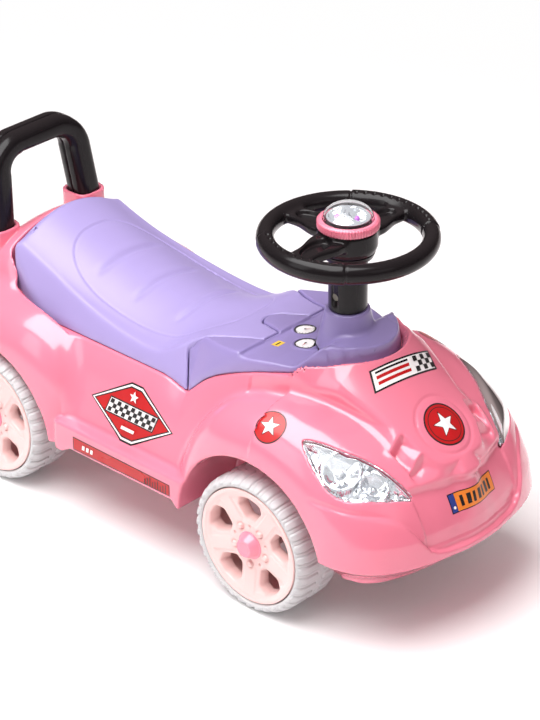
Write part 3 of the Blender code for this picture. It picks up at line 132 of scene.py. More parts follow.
world = bpy.data.worlds.new("studio")
bpy.context.scene.world = world
world.use_nodes = True
tree = world.node_tree
backdrop = tree.nodes["Background"]
backdrop.inputs["Color"].default_value = WORLD_TINT
where = add_node(tree, "TexCoord")
parts = add_node(tree, "SeparateXYZ")
rise = add_node(tree, "MapRange", {"From Min": 0.0, "To Min": HORIZON_LIGHT, "To Max": ZENITH_LIGHT})
join(
    tree,
    (where, "Generated", parts, 0),
    (parts, "Z", rise, "Value"),
    (rise, "Result", backdrop, "Strength"),
)
camera_white(tree, backdrop, tree.nodes["World Output"])


def soft_box(name, place, target, size, power):
    """A rectangular lamp at a place, turned towards a target."""
    lamp = bpy.data.lights.new(name, "AREA")
    lamp.shape = "RECTANGLE"
    lamp.size, lamp.size_y = size
    lamp.energy = power
    made = bpy.data.objects.new(name, lamp)
    made.location = place
    made.rotation_euler = (Vector(target) - Vector(place)).to_track_quat("-Z", "Y").to_euler()
    bpy.context.scene.collection.objects.link(made)


soft_box("overhead_box", (-0.7, 0.1, 2.2), (0, 0, 0.1), (2.2, 1.8), 88)
soft_box("left_box", (-2.2, 0.7, 1.3), (0, 0, 0.15), (1.0, 1.4), 8)
soft_box("front_box", (-0.3, -2.6, 1.5), (0, 0, 0.15), (1.4, 0.9), 2)

right = Vector((math.cos(CAMERA_AZIMUTH), -math.sin(CAMERA_AZIMUTH), 0))
flat = math.cos(CAMERA_ELEVATION)
back = Vector(
    (-math.sin(CAMERA_AZIMUTH) * flat, -math.cos(CAMERA_AZIMUTH) * flat, math.sin(CAMERA_ELEVATION))
)
upward = back.cross(right)
side_way = right * math.cos(CAMERA_ROLL) + upward * math.sin(CAMERA_ROLL)
top_way = upward * math.cos(CAMERA_ROLL) - right * math.sin(CAMERA_ROLL)
camera_data = bpy.data.cameras.new("camera")
camera_data.lens = CAMERA_LENS
camera = bpy.data.objects.new("camera", camera_data)
camera_turn = Matrix((side_way, top_way, back)).transposed().to_4x4()
camera.matrix_world = Matrix.Translation(CAMERA_PLACE) @ camera_turn
bpy.context.scene.collection.objects.link(camera)
bpy.context.scene.camera = camera
bpy.context.scene.view_settings.view_transform = "Standard"

# Body shell
# One blow-moulded piece of glossy pink plastic: hood with a raised shield, fenders, bumper, sills and
# rear deck. Its wheel arches, underside and lid recess are trimmed after moulding.
PINK = (0.80, 0.200, 0.290)
SIDES = ((-1, "right"), (1, "left"))
NOSE_Y, TAIL_Y = -0.3245, 0.3226
BODY_WALL = 0.0042
HALF_WIDTH = 0.137
WAIST_HALF, WAIST_Z, WAIST_LEAN = 0.122, 0.105, 0.33
FRONT_AXLE_Y, REAR_AXLE_Y, AXLE_Z = -0.144, 0.227, 0.0725
FRONT_ARCH, REAR_ARCH = 0.094, 0.0845
FRONT_POCKET_X, REAR_POCKET_X = 0.056, 0.068
POCKETS = ((FRONT_AXLE_Y, FRONT_ARCH, FRONT_POCKET_X), (REAR_AXLE_Y, REAR_ARCH, REAR_POCKET_X))
FRONT_FENDER_Z, REAR_FENDER_Z, FENDER_REACH = 0.2165, 0.2035, 0.118
SILL_FRONT_Y, SILL_REAR_Y, SILL_TOP_Z = -0.040, 0.112, 0.108
SHOULDER_Z, RECESS_DEPTH = 0.188, 0.0035
SEAT_HALF, SEAT_TIP_Y, SEAT_REAR_Y = 0.090, -0.0205, 0.2475
DASH_FRONT_Y, DASH_REAR_Y = -0.203, -0.080
TONGUE_REAR_Y, TONGUE_HALF, TONGUE_FLARE = -0.043, 0.015, 0.008
COLUMN_Y = -0.150
HINGE_Y, HINGE_Z, HINGE_BORE = 0.2395, 0.2535, 0.0018
HANDLE_X, HANDLE_Y, HANDLE_WIDE, HANDLE_DEEP = 0.061, 0.2835, 0.030, 0.030
SLEEVE_LOW, SLEEVE_TOP, SOCKET_FLOOR = 0.203, 0.2495, 0.15
AXLE_BORE, COLUMN_HOLE = 0.009, 0.006
AXLE_BRACKET = ((0.056, REAR_AXLE_Y - 0.020, 0.060), (0.0675, REAR_AXLE_Y + 0.020, 0.1025))
HINGE_POST = ((0.020, 0.237, 0.196), (0.026, 0.242, 0.256))
TRAY_OPENING = ((-0.062, 0.030, 0.15), (0.062, 0.172, 0.25))
CROSS_MEMBER_SLOT = ((-0.01, -0.1625, 0.05), (0.062, -0.1335, 0.0985))
LAMP_CENTRE = Vector((0.0986, -0.256, 0.1786))
LAMP_FACING = Vector((0.293, -0.448, 0.844)).normalized()
LAMP_LENGTH = Vector((0.383, 0.864, 0.326)).normalized()
LAMP_WIDTH = LAMP_FACING.cross(LAMP_LENGTH)


def ease(t):
    """Runs smoothly from 0 to 1 as t does."""
    t = np.clip(t, 0, 1)
    return t * t * (3 - 2 * t)


def hump(away, width):
    """A bell shape, 1 in its middle."""
    return np.exp(-((away / width) ** 2))


def smooth_max(a, b, blend):
    """The larger of two fields, with their meeting rounded over a width."""
    overlap = np.maximum(blend - np.abs(a - b), 0) / blend
    return np.maximum(a, b) + overlap**2 * blend / 4


def smooth_min(a, b, blend):
    return -smooth_max(-a, -b, blend)


def grouped(points, function):
    return function(points[:, 0], points[:, 1], points[:, 2])


def moulded(name, field, low, high, step, finish, settle=3):
    """Skins the place where a field of distances is zero: one point in each cell that the skin crosses,
    one face across each grid edge that it cuts. The points then settle onto the skin."""
    axes = [np.arange(a, b + step, step) for a, b in zip(low, high)]
    value = np.concatenate(
        [field(*np.meshgrid(part, axes[1], axes[2], indexing="ij")) for part in np.array_split(axes[0], 6)]
    )
    cells = tuple(n - 1 for n in value.shape)
    strides = np.array((cells[1] * cells[2], cells[2], 1))
    total = np.zeros((cells[0] * cells[1] * cells[2], 3))
    count = np.zeros(len(total))
    quads = []
    for axis in range(3):
        near = np.take(value, range(value.shape[axis] - 1), axis)
        far = np.take(value, range(1, value.shape[axis]), axis)
        edges = np.argwhere((near < 0) != (far < 0))
        start = near[tuple(edges.T)]
        end = far[tuple(edges.T)]
        spot = edges.astype(float)
        spot[:, axis] += start / (start - end)
        first, second = [a for a in range(3) if a != axis]
        corners = []
        sound = np.ones(len(edges), bool)
        for a, b in ((0, 0), (1, 0), (1, 1), (0, 1)):
            cell = edges.copy()
            cell[:, first] -= a
            cell[:, second] -= b
            good = ((cell >= 0) & (cell < np.array(cells))).all(1)
            sound &= good
            flat_cell = cell @ strides
            corners.append(flat_cell)
            for k in range(3):
                total[:, k] += np.bincount(flat_cell[good], spot[good, k], len(total))
            count += np.bincount(flat_cell[good], minlength=len(total))
        quad = np.stack(corners, 1)[sound]
        turned_over = (start[sound] < 0) == (axis == 1)
        quad[turned_over] = quad[turned_over][:, ::-1]
        quads.append(quad)
    used = count > 0
    index = np.cumsum(used) - 1
    points = np.array([a[0] for a in axes]) + total[used] / count[used, None] * step
    reach = step * 0.3
    for _ in range(settle):
        slopes = [
            (grouped(points + way, field) - grouped(points - way, field)) / (2 * reach)
            for way in np.eye(3) * reach
        ]
        slope = np.stack(slopes, 1)
        move = -slope * (grouped(points, field) / np.maximum((slope**2).sum(1), 0.05))[:, None]
        points = points + np.clip(move, -0.35 * step, 0.35 * step)
    return mesh_piece(name, points, index[np.concatenate(quads)], finish)


def mesh_piece(name, points, faces, finish, sharp=None):
    """A smooth-shaded mesh of points in the car's frame. An edge over sharp degrees stays an edge."""
    mesh = bpy.data.meshes.new(name)
    mesh.from_pydata([tuple(p) for p in points], [], [tuple(f) for f in faces])
    mesh.update()
    mesh.shade_smooth()
    if sharp:
        mesh.set_sharp_from_angle(angle=math.radians(sharp))
    made = bpy.data.objects.new(name, mesh)
    if finish is not None:
        mesh.materials.append(finish)
    bpy.context.scene.collection.objects.link(made)
    return made


def tone_ramp(tree, dark, light):
    """Two tones of one colour, for a cloud of noise to run between."""
    tones = add_node(tree, "ValToRGB")
    low, high = tones.color_ramp.elements
    low.position, high.position = 0.3, 0.7
    low.color, high.color = (*dark, 1), (*light, 1)
    return tones


def plastic(name, colour, roughness, mottling=0.03, grain=0.05, coat=0.0, patch_size=9.0, grain_size=700.0):
    """Moulded plastic: a faint cloud in its colour, a little unevenness in its gloss and a fine grain."""
    made, tree, shader = node_tree(name)
    place = add_node(tree, "TexCoord")
    cloud = add_node(tree, "TexNoise", {"Scale": patch_size, "Detail": 3})
    dark = [c * (1 - mottling) for c in colour]
    light = [min(c * (1 + mottling), 1) for c in colour]
    tones = tone_ramp(tree, dark, light)
    skin = add_node(tree, "TexNoise", {"Scale": grain_size, "Detail": 2})
    gloss = add_node(tree, "MapRange", {"To Min": roughness * 0.85, "To Max": roughness * 1.15})
    bump = add_node(tree, "Bump", {"Strength": grain, "Distance": 0.0003})
    join(
        tree,
        (place, "Object", cloud, "Vector"),
        (place, "Object", skin, "Vector"),
        (cloud, "Fac", tones, "Fac"),
        (tones, "Color", shader, "Base Color"),
        (cloud, "Fac", gloss, "Value"),
        (gloss, "Result", shader, "Roughness"),
        (skin, "Fac", bump, "Height"),
        (bump, "Normal", shader, "Normal"),
    )
    shader.inputs["Coat Weight"].default_value = coat
    shader.inputs["Coat Roughness"].default_value = 0.08
    return made


RIM_FRONT_RISE, RIM_DIP, RIM_REAR_RISE, REAR_TAPER = 0.062, 0.007, 0.018, 0.0675


def rim_height(y):
    """Height of the body along the edge of the seat and the dash."""
    front = RIM_FRONT_RISE * (1 - np.exp(np.minimum(y - SEAT_TIP_Y, 0) / 0.075))
    dip = RIM_DIP * hump(y - SEAT_TIP_Y, 0.02)
    rear = RIM_REAR_RISE * np.clip((y - SEAT_REAR_Y + REAR_TAPER) / 0.07, 0, 1) ** 1.5
    return SHOULDER_Z + front - dip + rear


NOSE_BOW, NOSE_LEAN, NOSE_TUCK = 1.9, 0.16, 1.2


def bow(x, z):
    """The front face, bowed in plan, leaning back above the middle and tucked in below."""
    lean = NOSE_LEAN * np.maximum(z - 0.12, 0)
    tuck = NOSE_TUCK * np.maximum(0.095 - z, 0)
    return NOSE_Y + NOSE_BOW * x**2 + lean + tuck


HOOD_Z, HOOD_Y, HOOD_RISE = 0.262, -0.201, 0.85


def hood_height(x, y):
    """The hood's top: rising to the rear, and falling to its sides, more steeply further back."""
    fall = 2.6 + 60 * np.maximum(y + 0.28, 0) + 110 * np.maximum(y + 0.195, 0)
    return HOOD_Z + HOOD_RISE * (y - HOOD_Y) - fall * x**2


DECK_Z, DECK_CROWN = 0.261, 4.3
HOOD_TIP_HALF, HOOD_TIP_Y, HOOD_TIP_LENGTH = 0.052, -0.25, 0.05


def hull_field(x, y, z):
    """The long centre of the body: waist, hood and rear deck."""
    side = x - (WAIST_HALF - WAIST_LEAN * (z - WAIST_Z))
    middle = rim_height(y) + 5.5 * (SEAT_HALF**2 - x**2)
    deck = DECK_Z - DECK_CROWN * x**2
    crown = middle + (deck - middle) * ease((y - SEAT_REAR_Y + 0.03) / 0.04)
    hood = hood_height(x, y) + 0.035 * ease((y + 0.175) / 0.05) + 0.5 * ease((y + 0.13) / 0.04)
    top = z - smooth_min(hood, crown, 0.006)
    tip = np.clip(1 - np.maximum(HOOD_TIP_Y - y, 0) ** 2 / HOOD_TIP_LENGTH**2, 0, 1)
    plan = x - HOOD_TIP_HALF * np.sqrt(tip) - 0.0002
    taper = plan - 0.22 * np.maximum(y - HOOD_TIP_Y, 0) - 0.35 * np.maximum(0.21 - z, 0)
    hood_side = np.where(y < -0.10, taper, -1.0)
    tail = y - (TAIL_Y - 0.45 * np.maximum(z - 0.17, 0) - 0.25 * np.maximum(0.12 - z, 0))
    field = smooth_max(side, top * 0.8, 0.012)
    field = smooth_max(field, hood_side * 0.9, 0.006)
    field = smooth_max(field, (bow(x, z) - y) * 0.95, 0.02)
    return smooth_max(field, tail, 0.05)


# The shield's tip and the lip outside it: half width, length and roundness. The pockets between them
# are steps, each with its place, its length along the car and its depth.
SHOULDER_Y = -0.252
SHIELD_OUTLINE, LIP_OUTLINE = (0.0450, 0.0560, 2.2), (0.0610, 0.0680, 2.6)
POCKET_STEPS = ((-0.2585, 0.0215, 0.0095), (-0.2800, 0.0220, 0.0092))
STEP_RISE, LAST_STEP_Y, LAST_STEP, LIP_RISE = 0.0088, -0.302, 0.0042, 0.0022


def nose_ring(x, y, half_width, length, power):
    """About the plan distance outside a round-ended outline that starts level with the shoulders."""
    wide = np.abs(x / half_width) ** power
    deep = np.abs(np.minimum(y - SHOULDER_Y, 0) / length) ** power
    return ((wide + deep) ** (1 / power) - 1) * half_width


def nose_channel(x, y):
    """The stair of pockets round the tip of the shield, and the soft lip outside it, as depth."""
    from_shield = nose_ring(x, y, *SHIELD_OUTLINE)
    from_lip = nose_ring(x, y, *LIP_OUTLINE)
    x = np.abs(x)
    between = ease(0.5 + from_shield / 0.0030) * ease(0.5 - from_lip / 0.0040)
    stair = 0
    for start, length, depth in POCKET_STEPS:
        share = np.clip((start - y) / length, 0, 1)
        stair = stair + ease(share / 0.08) * (depth - STEP_RISE * share)
    stair = stair + LAST_STEP * ease((LAST_STEP_Y - y) / 0.006)
    lip = LIP_RISE * hump(from_lip - 0.0030, 0.0028) * ease((SHOULDER_Y - y) / 0.012)
    return between * stair * ease((x - 0.020) / 0.016) - lip


def front_field(x, y, z):
    """The front fenders and bumper as one block with its corners rounded off."""
    slope = z - (0.196 + 0.62 * (y + 0.233) - 0.35 * (x - 0.0947))
    plateau = z - (FRONT_FENDER_Z - 0.12 * (x - 0.1))
    up = (z - AXLE_Z) / (FRONT_FENDER_Z - AXLE_Z + 0.001)
    arc = np.hypot((y - FRONT_AXLE_Y) / FENDER_REACH, up) - 1
    behind = np.where(y > FRONT_AXLE_Y, arc * 0.125, -1.0)
    chin = 0.105 + (z - 0.063) + 2 * np.maximum(y + 0.235, 0)
    side = x - np.minimum(HALF_WIDTH, chin)
    field = smooth_max(slope * 0.82, plateau, 0.03)
    field = smooth_max(field, behind, 0.02)
    field = smooth_max(field, side, 0.05)
    return smooth_max(field, (bow(x, z) - y) * 0.95, 0.05)


def rear_field(x, y, z):
    """The rear fenders: a rounded arch that reaches less far behind the axle."""
    reach = np.where(y < REAR_AXLE_Y, FENDER_REACH, FENDER_REACH - 0.018)
    along = np.abs(y - REAR_AXLE_Y) / reach
    up = np.maximum(z - AXLE_Z, 0) / (REAR_FENDER_Z - AXLE_Z)
    arc = (along**3 + up**3) ** (1 / 3) - 1
    return smooth_max(arc * 0.12, x - HALF_WIDTH, 0.06)


def sill_field(x, y, z):
    """The sills between the wheels."""
    middle = (SILL_FRONT_Y + SILL_REAR_Y) / 2
    half = (SILL_REAR_Y - SILL_FRONT_Y) / 2 + 0.02
    edge = smooth_max(x - HALF_WIDTH, z - SILL_TOP_Z, 0.004)
    return smooth_max(edge, np.abs(y - middle) - half, 0.01)


def body_field(x, y, z):
    """Negative inside the body, about zero on its skin, in metres."""
    x = np.abs(x)
    field = smooth_min(hull_field(x, y, z), front_field(x, y, z), 0.006)
    field = smooth_min(field, rear_field(x, y, z), 0.012)
    return smooth_min(field, sill_field(x, y, z), 0.004)


# The line along which the bumper meets the nose: its height at distances from the middle of the car.
CREASE_X = (0.0, 0.045, 0.057, 0.067, 0.074, 0.0815, 0.0876, 0.0942, 0.105, 0.12, 0.137)
CREASE_Z = (0.1005, 0.1012, 0.104, 0.1105, 0.121, 0.1326, 0.1395, 0.1444, 0.1478, 0.1515, 0.157)
BADGE_Y, BADGE_Z, BADGE_RING = -0.273, 0.201, 0.0305
FACE_DEPTH, PANEL_DEPTH, PANEL_HALF, PANEL_LOW_Z = 0.0048, 0.0014, 0.0665, 0.1065


def body_relief(x, y, z):
    """Shallow forms of the skin, positive where it lies deeper: bumper crease, grille face, badge ring."""
    x = np.abs(x)
    above = z - np.interp(x, CREASE_X, CREASE_Z)
    ahead = ease((-0.262 - y) / 0.02)
    fade = 1 - ease((z - 0.155) / 0.012)
    face = FACE_DEPTH * ease(0.5 + above / 0.003) * fade * (1 - 0.75 * ease((x - 0.05) / 0.045)) * ahead
    panel = PANEL_DEPTH * ease((PANEL_HALF - x) / 0.0015) * ease((z - PANEL_LOW_Z) / 0.0015) * fade * ahead
    crease = 0.0011 * hump(above, 0.0022) * ease((x - 0.085) / 0.02) * ease((-0.215 - y) / 0.02)
    badge = np.sqrt(x**2 + (y - BADGE_Y) ** 2 + (z - BADGE_Z) ** 2)
    ring = 0.0010 * hump(badge - BADGE_RING, 0.0016)
    return face + panel + crease + ring + 0.78 * nose_channel(x, y) * ease((z - 0.165) / 0.012)


def plan_distance(outline, margin=0.03, pitch=0.001):
    """A function of the signed distance from a closed plan outline, read off a fine grid."""
    corners = np.array(outline, float)
    low = corners.min(0) - margin
    high = corners.max(0) + margin
    ax = np.arange(low[0], high[0] + pitch, pitch)
    ay = np.arange(low[1], high[1] + pitch, pitch)
    gx, gy = np.meshgrid(ax, ay, indexing="ij")
    near = np.full(gx.shape, 1.0)
    inside = np.zeros(gx.shape, bool)
    for (x0, y0), (x1, y1) in zip(corners, np.roll(corners, -1, 0)):
        dx, dy = x1 - x0, y1 - y0
        t = np.clip(((gx - x0) * dx + (gy - y0) * dy) / max(dx * dx + dy * dy, 1e-12), 0, 1)
        near = np.minimum(near, np.hypot(gx - x0 - t * dx, gy - y0 - t * dy))
        crossing = (y0 > gy) != (y1 > gy)
        inside ^= crossing & (gx < x0 + (gy - y0) * dx / (dy if dy else 1e-12))
    signed = np.where(inside, -near, near)

    def distance(x, y):
        u = np.clip((x - low[0]) / pitch, 0, len(ax) - 1.001)
        v = np.clip((y - low[1]) / pitch, 0, len(ay) - 1.001)
        i, j = u.astype(int), v.astype(int)
        u, v = u - i, v - j
        edge = signed[i, j] * (1 - u) * (1 - v) + signed[i + 1, j] * u * (1 - v)
        return edge + signed[i, j + 1] * (1 - u) * v + signed[i + 1, j + 1] * u * v

    return distance


def both_sides(right_half):
    """A closed outline from its right half."""
    return list(right_half) + [(-x, y) for x, y in reversed(right_half) if abs(x) > 1e-7]


def seat_half(y):
    """Half the seat's width, drawn in towards its rear end."""
    return SEAT_HALF - 0.0155 * np.clip((y - SEAT_REAR_Y + REAR_TAPER) / REAR_TAPER, 0, 1) ** 1.6


def dash_half(y):
    """Half the dash's width, an ellipse to its front end."""
    along = np.clip((SEAT_TIP_Y - y) / (SEAT_TIP_Y - DASH_FRONT_Y), 0, 1)
    return SEAT_HALF * np.sqrt(1 - along**2)


def recess_outline():
    """Right half of the lid recess, from the dash's nose to behind the seat."""
    around = np.linspace(0, math.pi / 2, 40)
    right_half = [(0.0, DASH_FRONT_Y)]
    for angle in around[1:]:
        length = SEAT_TIP_Y - DASH_FRONT_Y
        right_half.append((SEAT_HALF * math.sin(angle), SEAT_TIP_Y - length * math.cos(angle)))
    for y in np.linspace(SEAT_TIP_Y, SEAT_REAR_Y, 40)[1:]:
        right_half.append((float(seat_half(y)), float(y)))
    right_half += [(0.071, SEAT_REAR_Y + 0.0028), (0.0, SEAT_REAR_Y + 0.0032)]
    return right_half


recess_distance = plan_distance(both_sides(recess_outline()))

# The height at which the underside is trimmed, along the car.
UNDER_Y = (-0.45, -0.232, -0.218, -0.048, -0.040, 0.105, 0.118, 0.45)
UNDER_Z = (0.063, 0.063, 0.0745, 0.0745, 0.082, 0.082, 0.0745, 0.0745)

# The lamp's outline in its own plane: (along, across) from its rear end round the outer edge to the tip.
LAMP_POINTS = []
for spot in (
    (0.1140, -0.1965, 0.2010), (0.1222, -0.2130, 0.1935), (0.1270, -0.2330, 0.1840),
    (0.1262, -0.2480, 0.1755), (0.1190, -0.2600, 0.1690), (0.1053, -0.2726, 0.1662),
    (0.0920, -0.2830, 0.1650), (0.0800, -0.2905, 0.1650), (0.0704, -0.2965, 0.1660),
    (0.0708, -0.2880, 0.1710), (0.0774, -0.2650, 0.1820), (0.0860, -0.2470, 0.1900),
    (0.0947, -0.2330, 0.1960), (0.1020, -0.2160, 0.2010), (0.1098, -0.2000, 0.2036),
):
    gap = Vector(spot) - LAMP_CENTRE
    LAMP_POINTS.append((gap.dot(LAMP_LENGTH), gap.dot(LAMP_WIDTH)))


def rounded_loop(points, count):
    """A smooth closed curve through the points, as many as count between each two."""
    made = []
    total = len(points)
    for i in range(total):
        a, b, c, d = [np.array(points[(i + k) % total]) for k in (-1, 0, 1, 2)]
        for step in range(count):
            t = step / count
            bend = (2 * a - 5 * b + 4 * c - d) * t**2
            twist = (3 * b - a - 3 * c + d) * t**3
            made.append(0.5 * (2 * b + (c - a) * t + bend + twist))
    return made


lamp_loop = rounded_loop(LAMP_POINTS, 5)
lamp_distance = plan_distance(lamp_loop, 0.02, 0.0005)


def lamp_prism(x, y, z):
    """Signed distance from the sides of the lamp opening, on either side of the car."""
    gap = (np.abs(x) - LAMP_CENTRE.x, y - LAMP_CENTRE.y, z - LAMP_CENTRE.z)
    ways = (LAMP_LENGTH, LAMP_WIDTH, LAMP_FACING)
    along, across, deep = [sum(g * w for g, w in zip(gap, way)) for way in ways]
    return np.maximum(lamp_distance(along, across), np.maximum(-0.035 - deep, deep - 0.03))


def box_field(x, y, z, low, high):
    spans = [np.maximum(a - v, v - b) for v, a, b in zip((x, y, z), low, high)]
    return np.maximum(np.maximum(spans[0], spans[1]), spans[2])


def pocket(x, y, z, axle_y, radius, start, grow):
    """A wheel pocket: a lying cylinder about the axle, from its inner wall outwards."""
    return np.maximum(np.hypot(y - axle_y, z - AXLE_Z) - radius - grow, start - grow - x)


def rounded_column(x, y, grow):
    """Plan distance from the push handle's foot."""
    wide = (np.abs(x) - HANDLE_X) / (HANDLE_WIDE / 2 + grow)
    deep = (y - HANDLE_Y) / (HANDLE_DEEP / 2 + grow)
    return ((np.abs(wide) ** 3.4 + np.abs(deep) ** 3.4) ** (1 / 3.4) - 1) * (HANDLE_WIDE / 2 + grow)


def shell_field(x, y, z):
    """The trimmed body shell with its wall, wheel pockets, brackets and handle sleeves."""
    ax = np.abs(x)
    solid = body_field(x, y, z)
    skin = solid + body_relief(x, y, z)
    lid = recess_distance(x, y)
    level = rim_height(y)
    inner = np.maximum(solid + BODY_WALL * 1.15 + 0.0105 * ease((-0.21 - y) / 0.03), 0.025 - z)
    for place, radius, start in POCKETS:
        inner = np.maximum(inner, -pocket(ax, y, z, place, radius, start, BODY_WALL))
    ledge = np.maximum(lid - 0.0018 - BODY_WALL, level - RECESS_DEPTH - BODY_WALL - z)
    inner = np.maximum(inner, -ledge)
    shell = smooth_max(skin, -inner, 0.0008)
    for place, radius, start in POCKETS:
        shell = smooth_max(shell, -pocket(ax, y, z, place, radius, start, 0.0), 0.002)
    sleeve = np.maximum(rounded_column(x, y, BODY_WALL), np.maximum(SLEEVE_LOW - z, z - SLEEVE_TOP))
    shell = np.minimum(shell, np.minimum(box_field(ax, y, z, *AXLE_BRACKET), sleeve))
    shell = smooth_max(shell, np.interp(y, UNDER_Y, UNDER_Z) - z, 0.002)
    ledge_out = 0.0011 + 0.0050 * ease((y + 0.175) / 0.03) * ease((0.236 - y) / 0.006)
    recess = smooth_max(lid - ledge_out, level - RECESS_DEPTH - z, 0.001)
    shell = smooth_max(shell, -recess, 0.0012)
    collar = z - level - 0.0015 - 1.2 * np.maximum(lid, 0) - 0.05 * ease((y + 0.150) / 0.045)
    shell = np.maximum(shell, np.where(lid < 0.03, collar, -1.0))
    shell = np.minimum(shell, box_field(ax, y, z, *HINGE_POST))
    shell = np.maximum(shell, -box_field(x, y, z, *TRAY_OPENING))
    shell = np.maximum(shell, -box_field(ax, y, z, *CROSS_MEMBER_SLOT))
    shell = np.maximum(shell, COLUMN_HOLE - np.hypot(x, y - COLUMN_Y))
    shell = smooth_max(shell, -lamp_prism(x, y, z), 0.0012)
    socket = np.maximum(rounded_column(x, y, 0.0006), SOCKET_FLOOR - z)
    bore = np.maximum(np.hypot(y - REAR_AXLE_Y, z - AXLE_Z) - AXLE_BORE, 0.04 - ax)
    pin = np.maximum(np.hypot(y - HINGE_Y, z - HINGE_Z) - HINGE_BORE, ax - 0.035)
    return smooth_max(np.maximum(np.maximum(shell, -bore), -pin), -socket, 0.001)


pink_plastic = plastic("pink_plastic", PINK, 0.20, 0.03, 0.03, 0.6)
body_low, body_high = (-0.1405, -0.331, 0.0595), (0.1405, 0.333, 0.268)
body = moulded("body_skin", shell_field, body_low, body_high, 0.0019, pink_plastic)
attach(body, "body")
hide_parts("body_shell")

# Floor pan
# The flat pink plate that closes the underside between the wheel pockets, clipped up from below.
def recoat(node, finish):
    """Gives a finish to a piece that stays as it is made in CAD."""
    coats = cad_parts[node].data.materials
    coats.clear()
    coats.append(finish)


recoat("floor_pan", plastic("pan_plastic", PINK, 0.35, 0.04, 0.10))

# Stickers on the body
# Printed vinyl labels: badges, side panel, sill strip and front plate. Each lies on the skin and
# follows its curve. The print is a plain design in the same colours and sizes as on such a car.
INK_COLOURS = {
    "black": (0.012, 0.011, 0.012),
    "red": (0.46, 0.004, 0.006),
    "white": (0.86, 0.84, 0.84),
    "orange": (0.83, 0.23, 0.03),
    "blue": (0.03, 0.05, 0.26),
}
VINYL_LIFT, VINYL_STEP = 0.00018, 0.00006
EDGE_PITCH, RING_PITCH = 0.0022, 0.0025
inks = {word: plastic(f"{word}_vinyl", colour, 0.28, 0.02, 0.02) for word, colour in INK_COLOURS.items()}


def onto_skin(points, way, tree, reach=0.04):
    """Drops points along a way onto a piece. One that misses stays level with the last that met it."""
    made = []
    drop = reach
    for point in points:
        met = tree.ray_cast(Vector(point + way * reach), Vector(-way), 2 * reach)
        drop = met[3] if met[0] is not None else drop
        made.append(point + way * (reach - drop))
    return np.array(made)


def skin_of(piece):
    """The faces of a piece, ready for points to be dropped on."""
    mesh = piece.data
    return BVHTree.FromPolygons([v.co for v in mesh.vertices], [tuple(p.vertices) for p in mesh.polygons])


body_tree = skin_of(body)


def disc_shape(radius, centre=(0, 0), count=48):
    turn = np.linspace(0, 2 * math.pi, count, endpoint=False)
    return [(centre[0] + radius * math.cos(a), centre[1] + radius * math.sin(a)) for a in turn]


def star_shape(radius, centre=(0, 0), waist=0.42):
    made = []
    for i in range(10):
        reach = radius if i % 2 == 0 else radius * waist
        angle = math.pi / 2 + math.pi * i / 5
        made.append((centre[0] + reach * math.cos(angle), centre[1] + reach * math.sin(angle)))
    return made


def bar_shape(u, v, wide, tall, lean=0.0):
    return [(u - lean, v), (u + wide - lean, v), (u + wide + lean, v + tall), (u + lean, v + tall)]


def chequers(left, columns, wide, tall, lean):
    """Three rows of black squares, each row moved a little to the side."""
    squares = []
    for row in range(3):
        for column in range(columns):
            if (row + column) % 2 == 0:
                corner = left + column * wide + row * 1.3
                squares.append((bar_shape(corner, -7 + row * tall, wide, tall, lean), "black"))
    return squares


def disc_grid(loop, rings):
    """Points and faces of a filled outline: its middle, then rings out to the edge."""
    loop = np.array(loop)
    middle = loop.mean(0)
    points = [middle] + [middle + (p - middle) * (r + 1) / rings for r in range(rings) for p in loop]
    count = len(loop)
    faces = []
    for i in range(count):
        j = (i + 1) % count
        faces.append((0, 1 + i, 1 + j))
        for a in range(1, 1 + (rings - 1) * count, count):
            faces.append((a + i, a + count + i, a + count + j, a + j))
    return np.array(points), faces


def sticker(name, centre, facing, upright, layers, tree=body_tree):
    """A printed label: each layer is an outline in millimetres with an ink, a hair above the one below."""
    facing = Vector(facing).normalized()
    across_way = Vector(upright).cross(facing).normalized()
    up_way = facing.cross(across_way)
    base, u_way, v_way, out = [np.array(v) for v in (centre, across_way, up_way, facing)]
    points, faces, owners = [], [], []
    for level, (outline, ink) in enumerate(layers):
        corners = np.array(outline, float) / 1000
        edge = []
        for a, b in zip(corners, np.roll(corners, -1, 0)):
            cuts = max(1, int(np.linalg.norm(b - a) / EDGE_PITCH))
            edge += [a + (b - a) * k / cuts for k in range(cuts)]
        edge = np.array(edge)
        rings = max(2, int(np.abs(edge - edge.mean(0)).max() / RING_PITCH))
        flat_points, flat_faces = disc_grid(edge, rings)
        placed = base + flat_points[:, :1] * u_way + flat_points[:, 1:] * v_way
        placed = onto_skin(placed, out, tree) + out * (VINYL_LIFT + VINYL_STEP * level)
        start = len(points)
        points += [tuple(p) for p in placed]
        faces += [tuple(start + i for i in face) for face in flat_faces]
        owners += [ink] * len(flat_faces)
    made = mesh_piece(name, points, faces, None)
    words = sorted(set(owners))
    for word in words:
        made.data.materials.append(inks[word])
    made.data.polygons.foreach_set("material_index", [words.index(o) for o in owners])
    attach(made, "body")
    return made


# On the hood: a white pennant with a black edge, stripes and a chequered end.
pennant = [(bar_shape(-41, -10, 82, 22, 3.0), "black"), (bar_shape(-39, -8.2, 78, 18.4, 2.6), "white")]
pennant.append((bar_shape(-36, -4.5, 40, 3.2, 0.5), "red"))
pennant.append((bar_shape(-35, 1.2, 40, 3.2, 0.5), "red"))
pennant.append((bar_shape(-34, 6.6, 40, 2.0, 0.3), "black"))
pennant += chequers(10, 5, 5.6, 5.4, 0.7)
sticker("hood_pennant", (0.002, -0.224, 0.243), (0.0, -0.62, 0.78), (0.10, 0.62, 0.78), pennant)

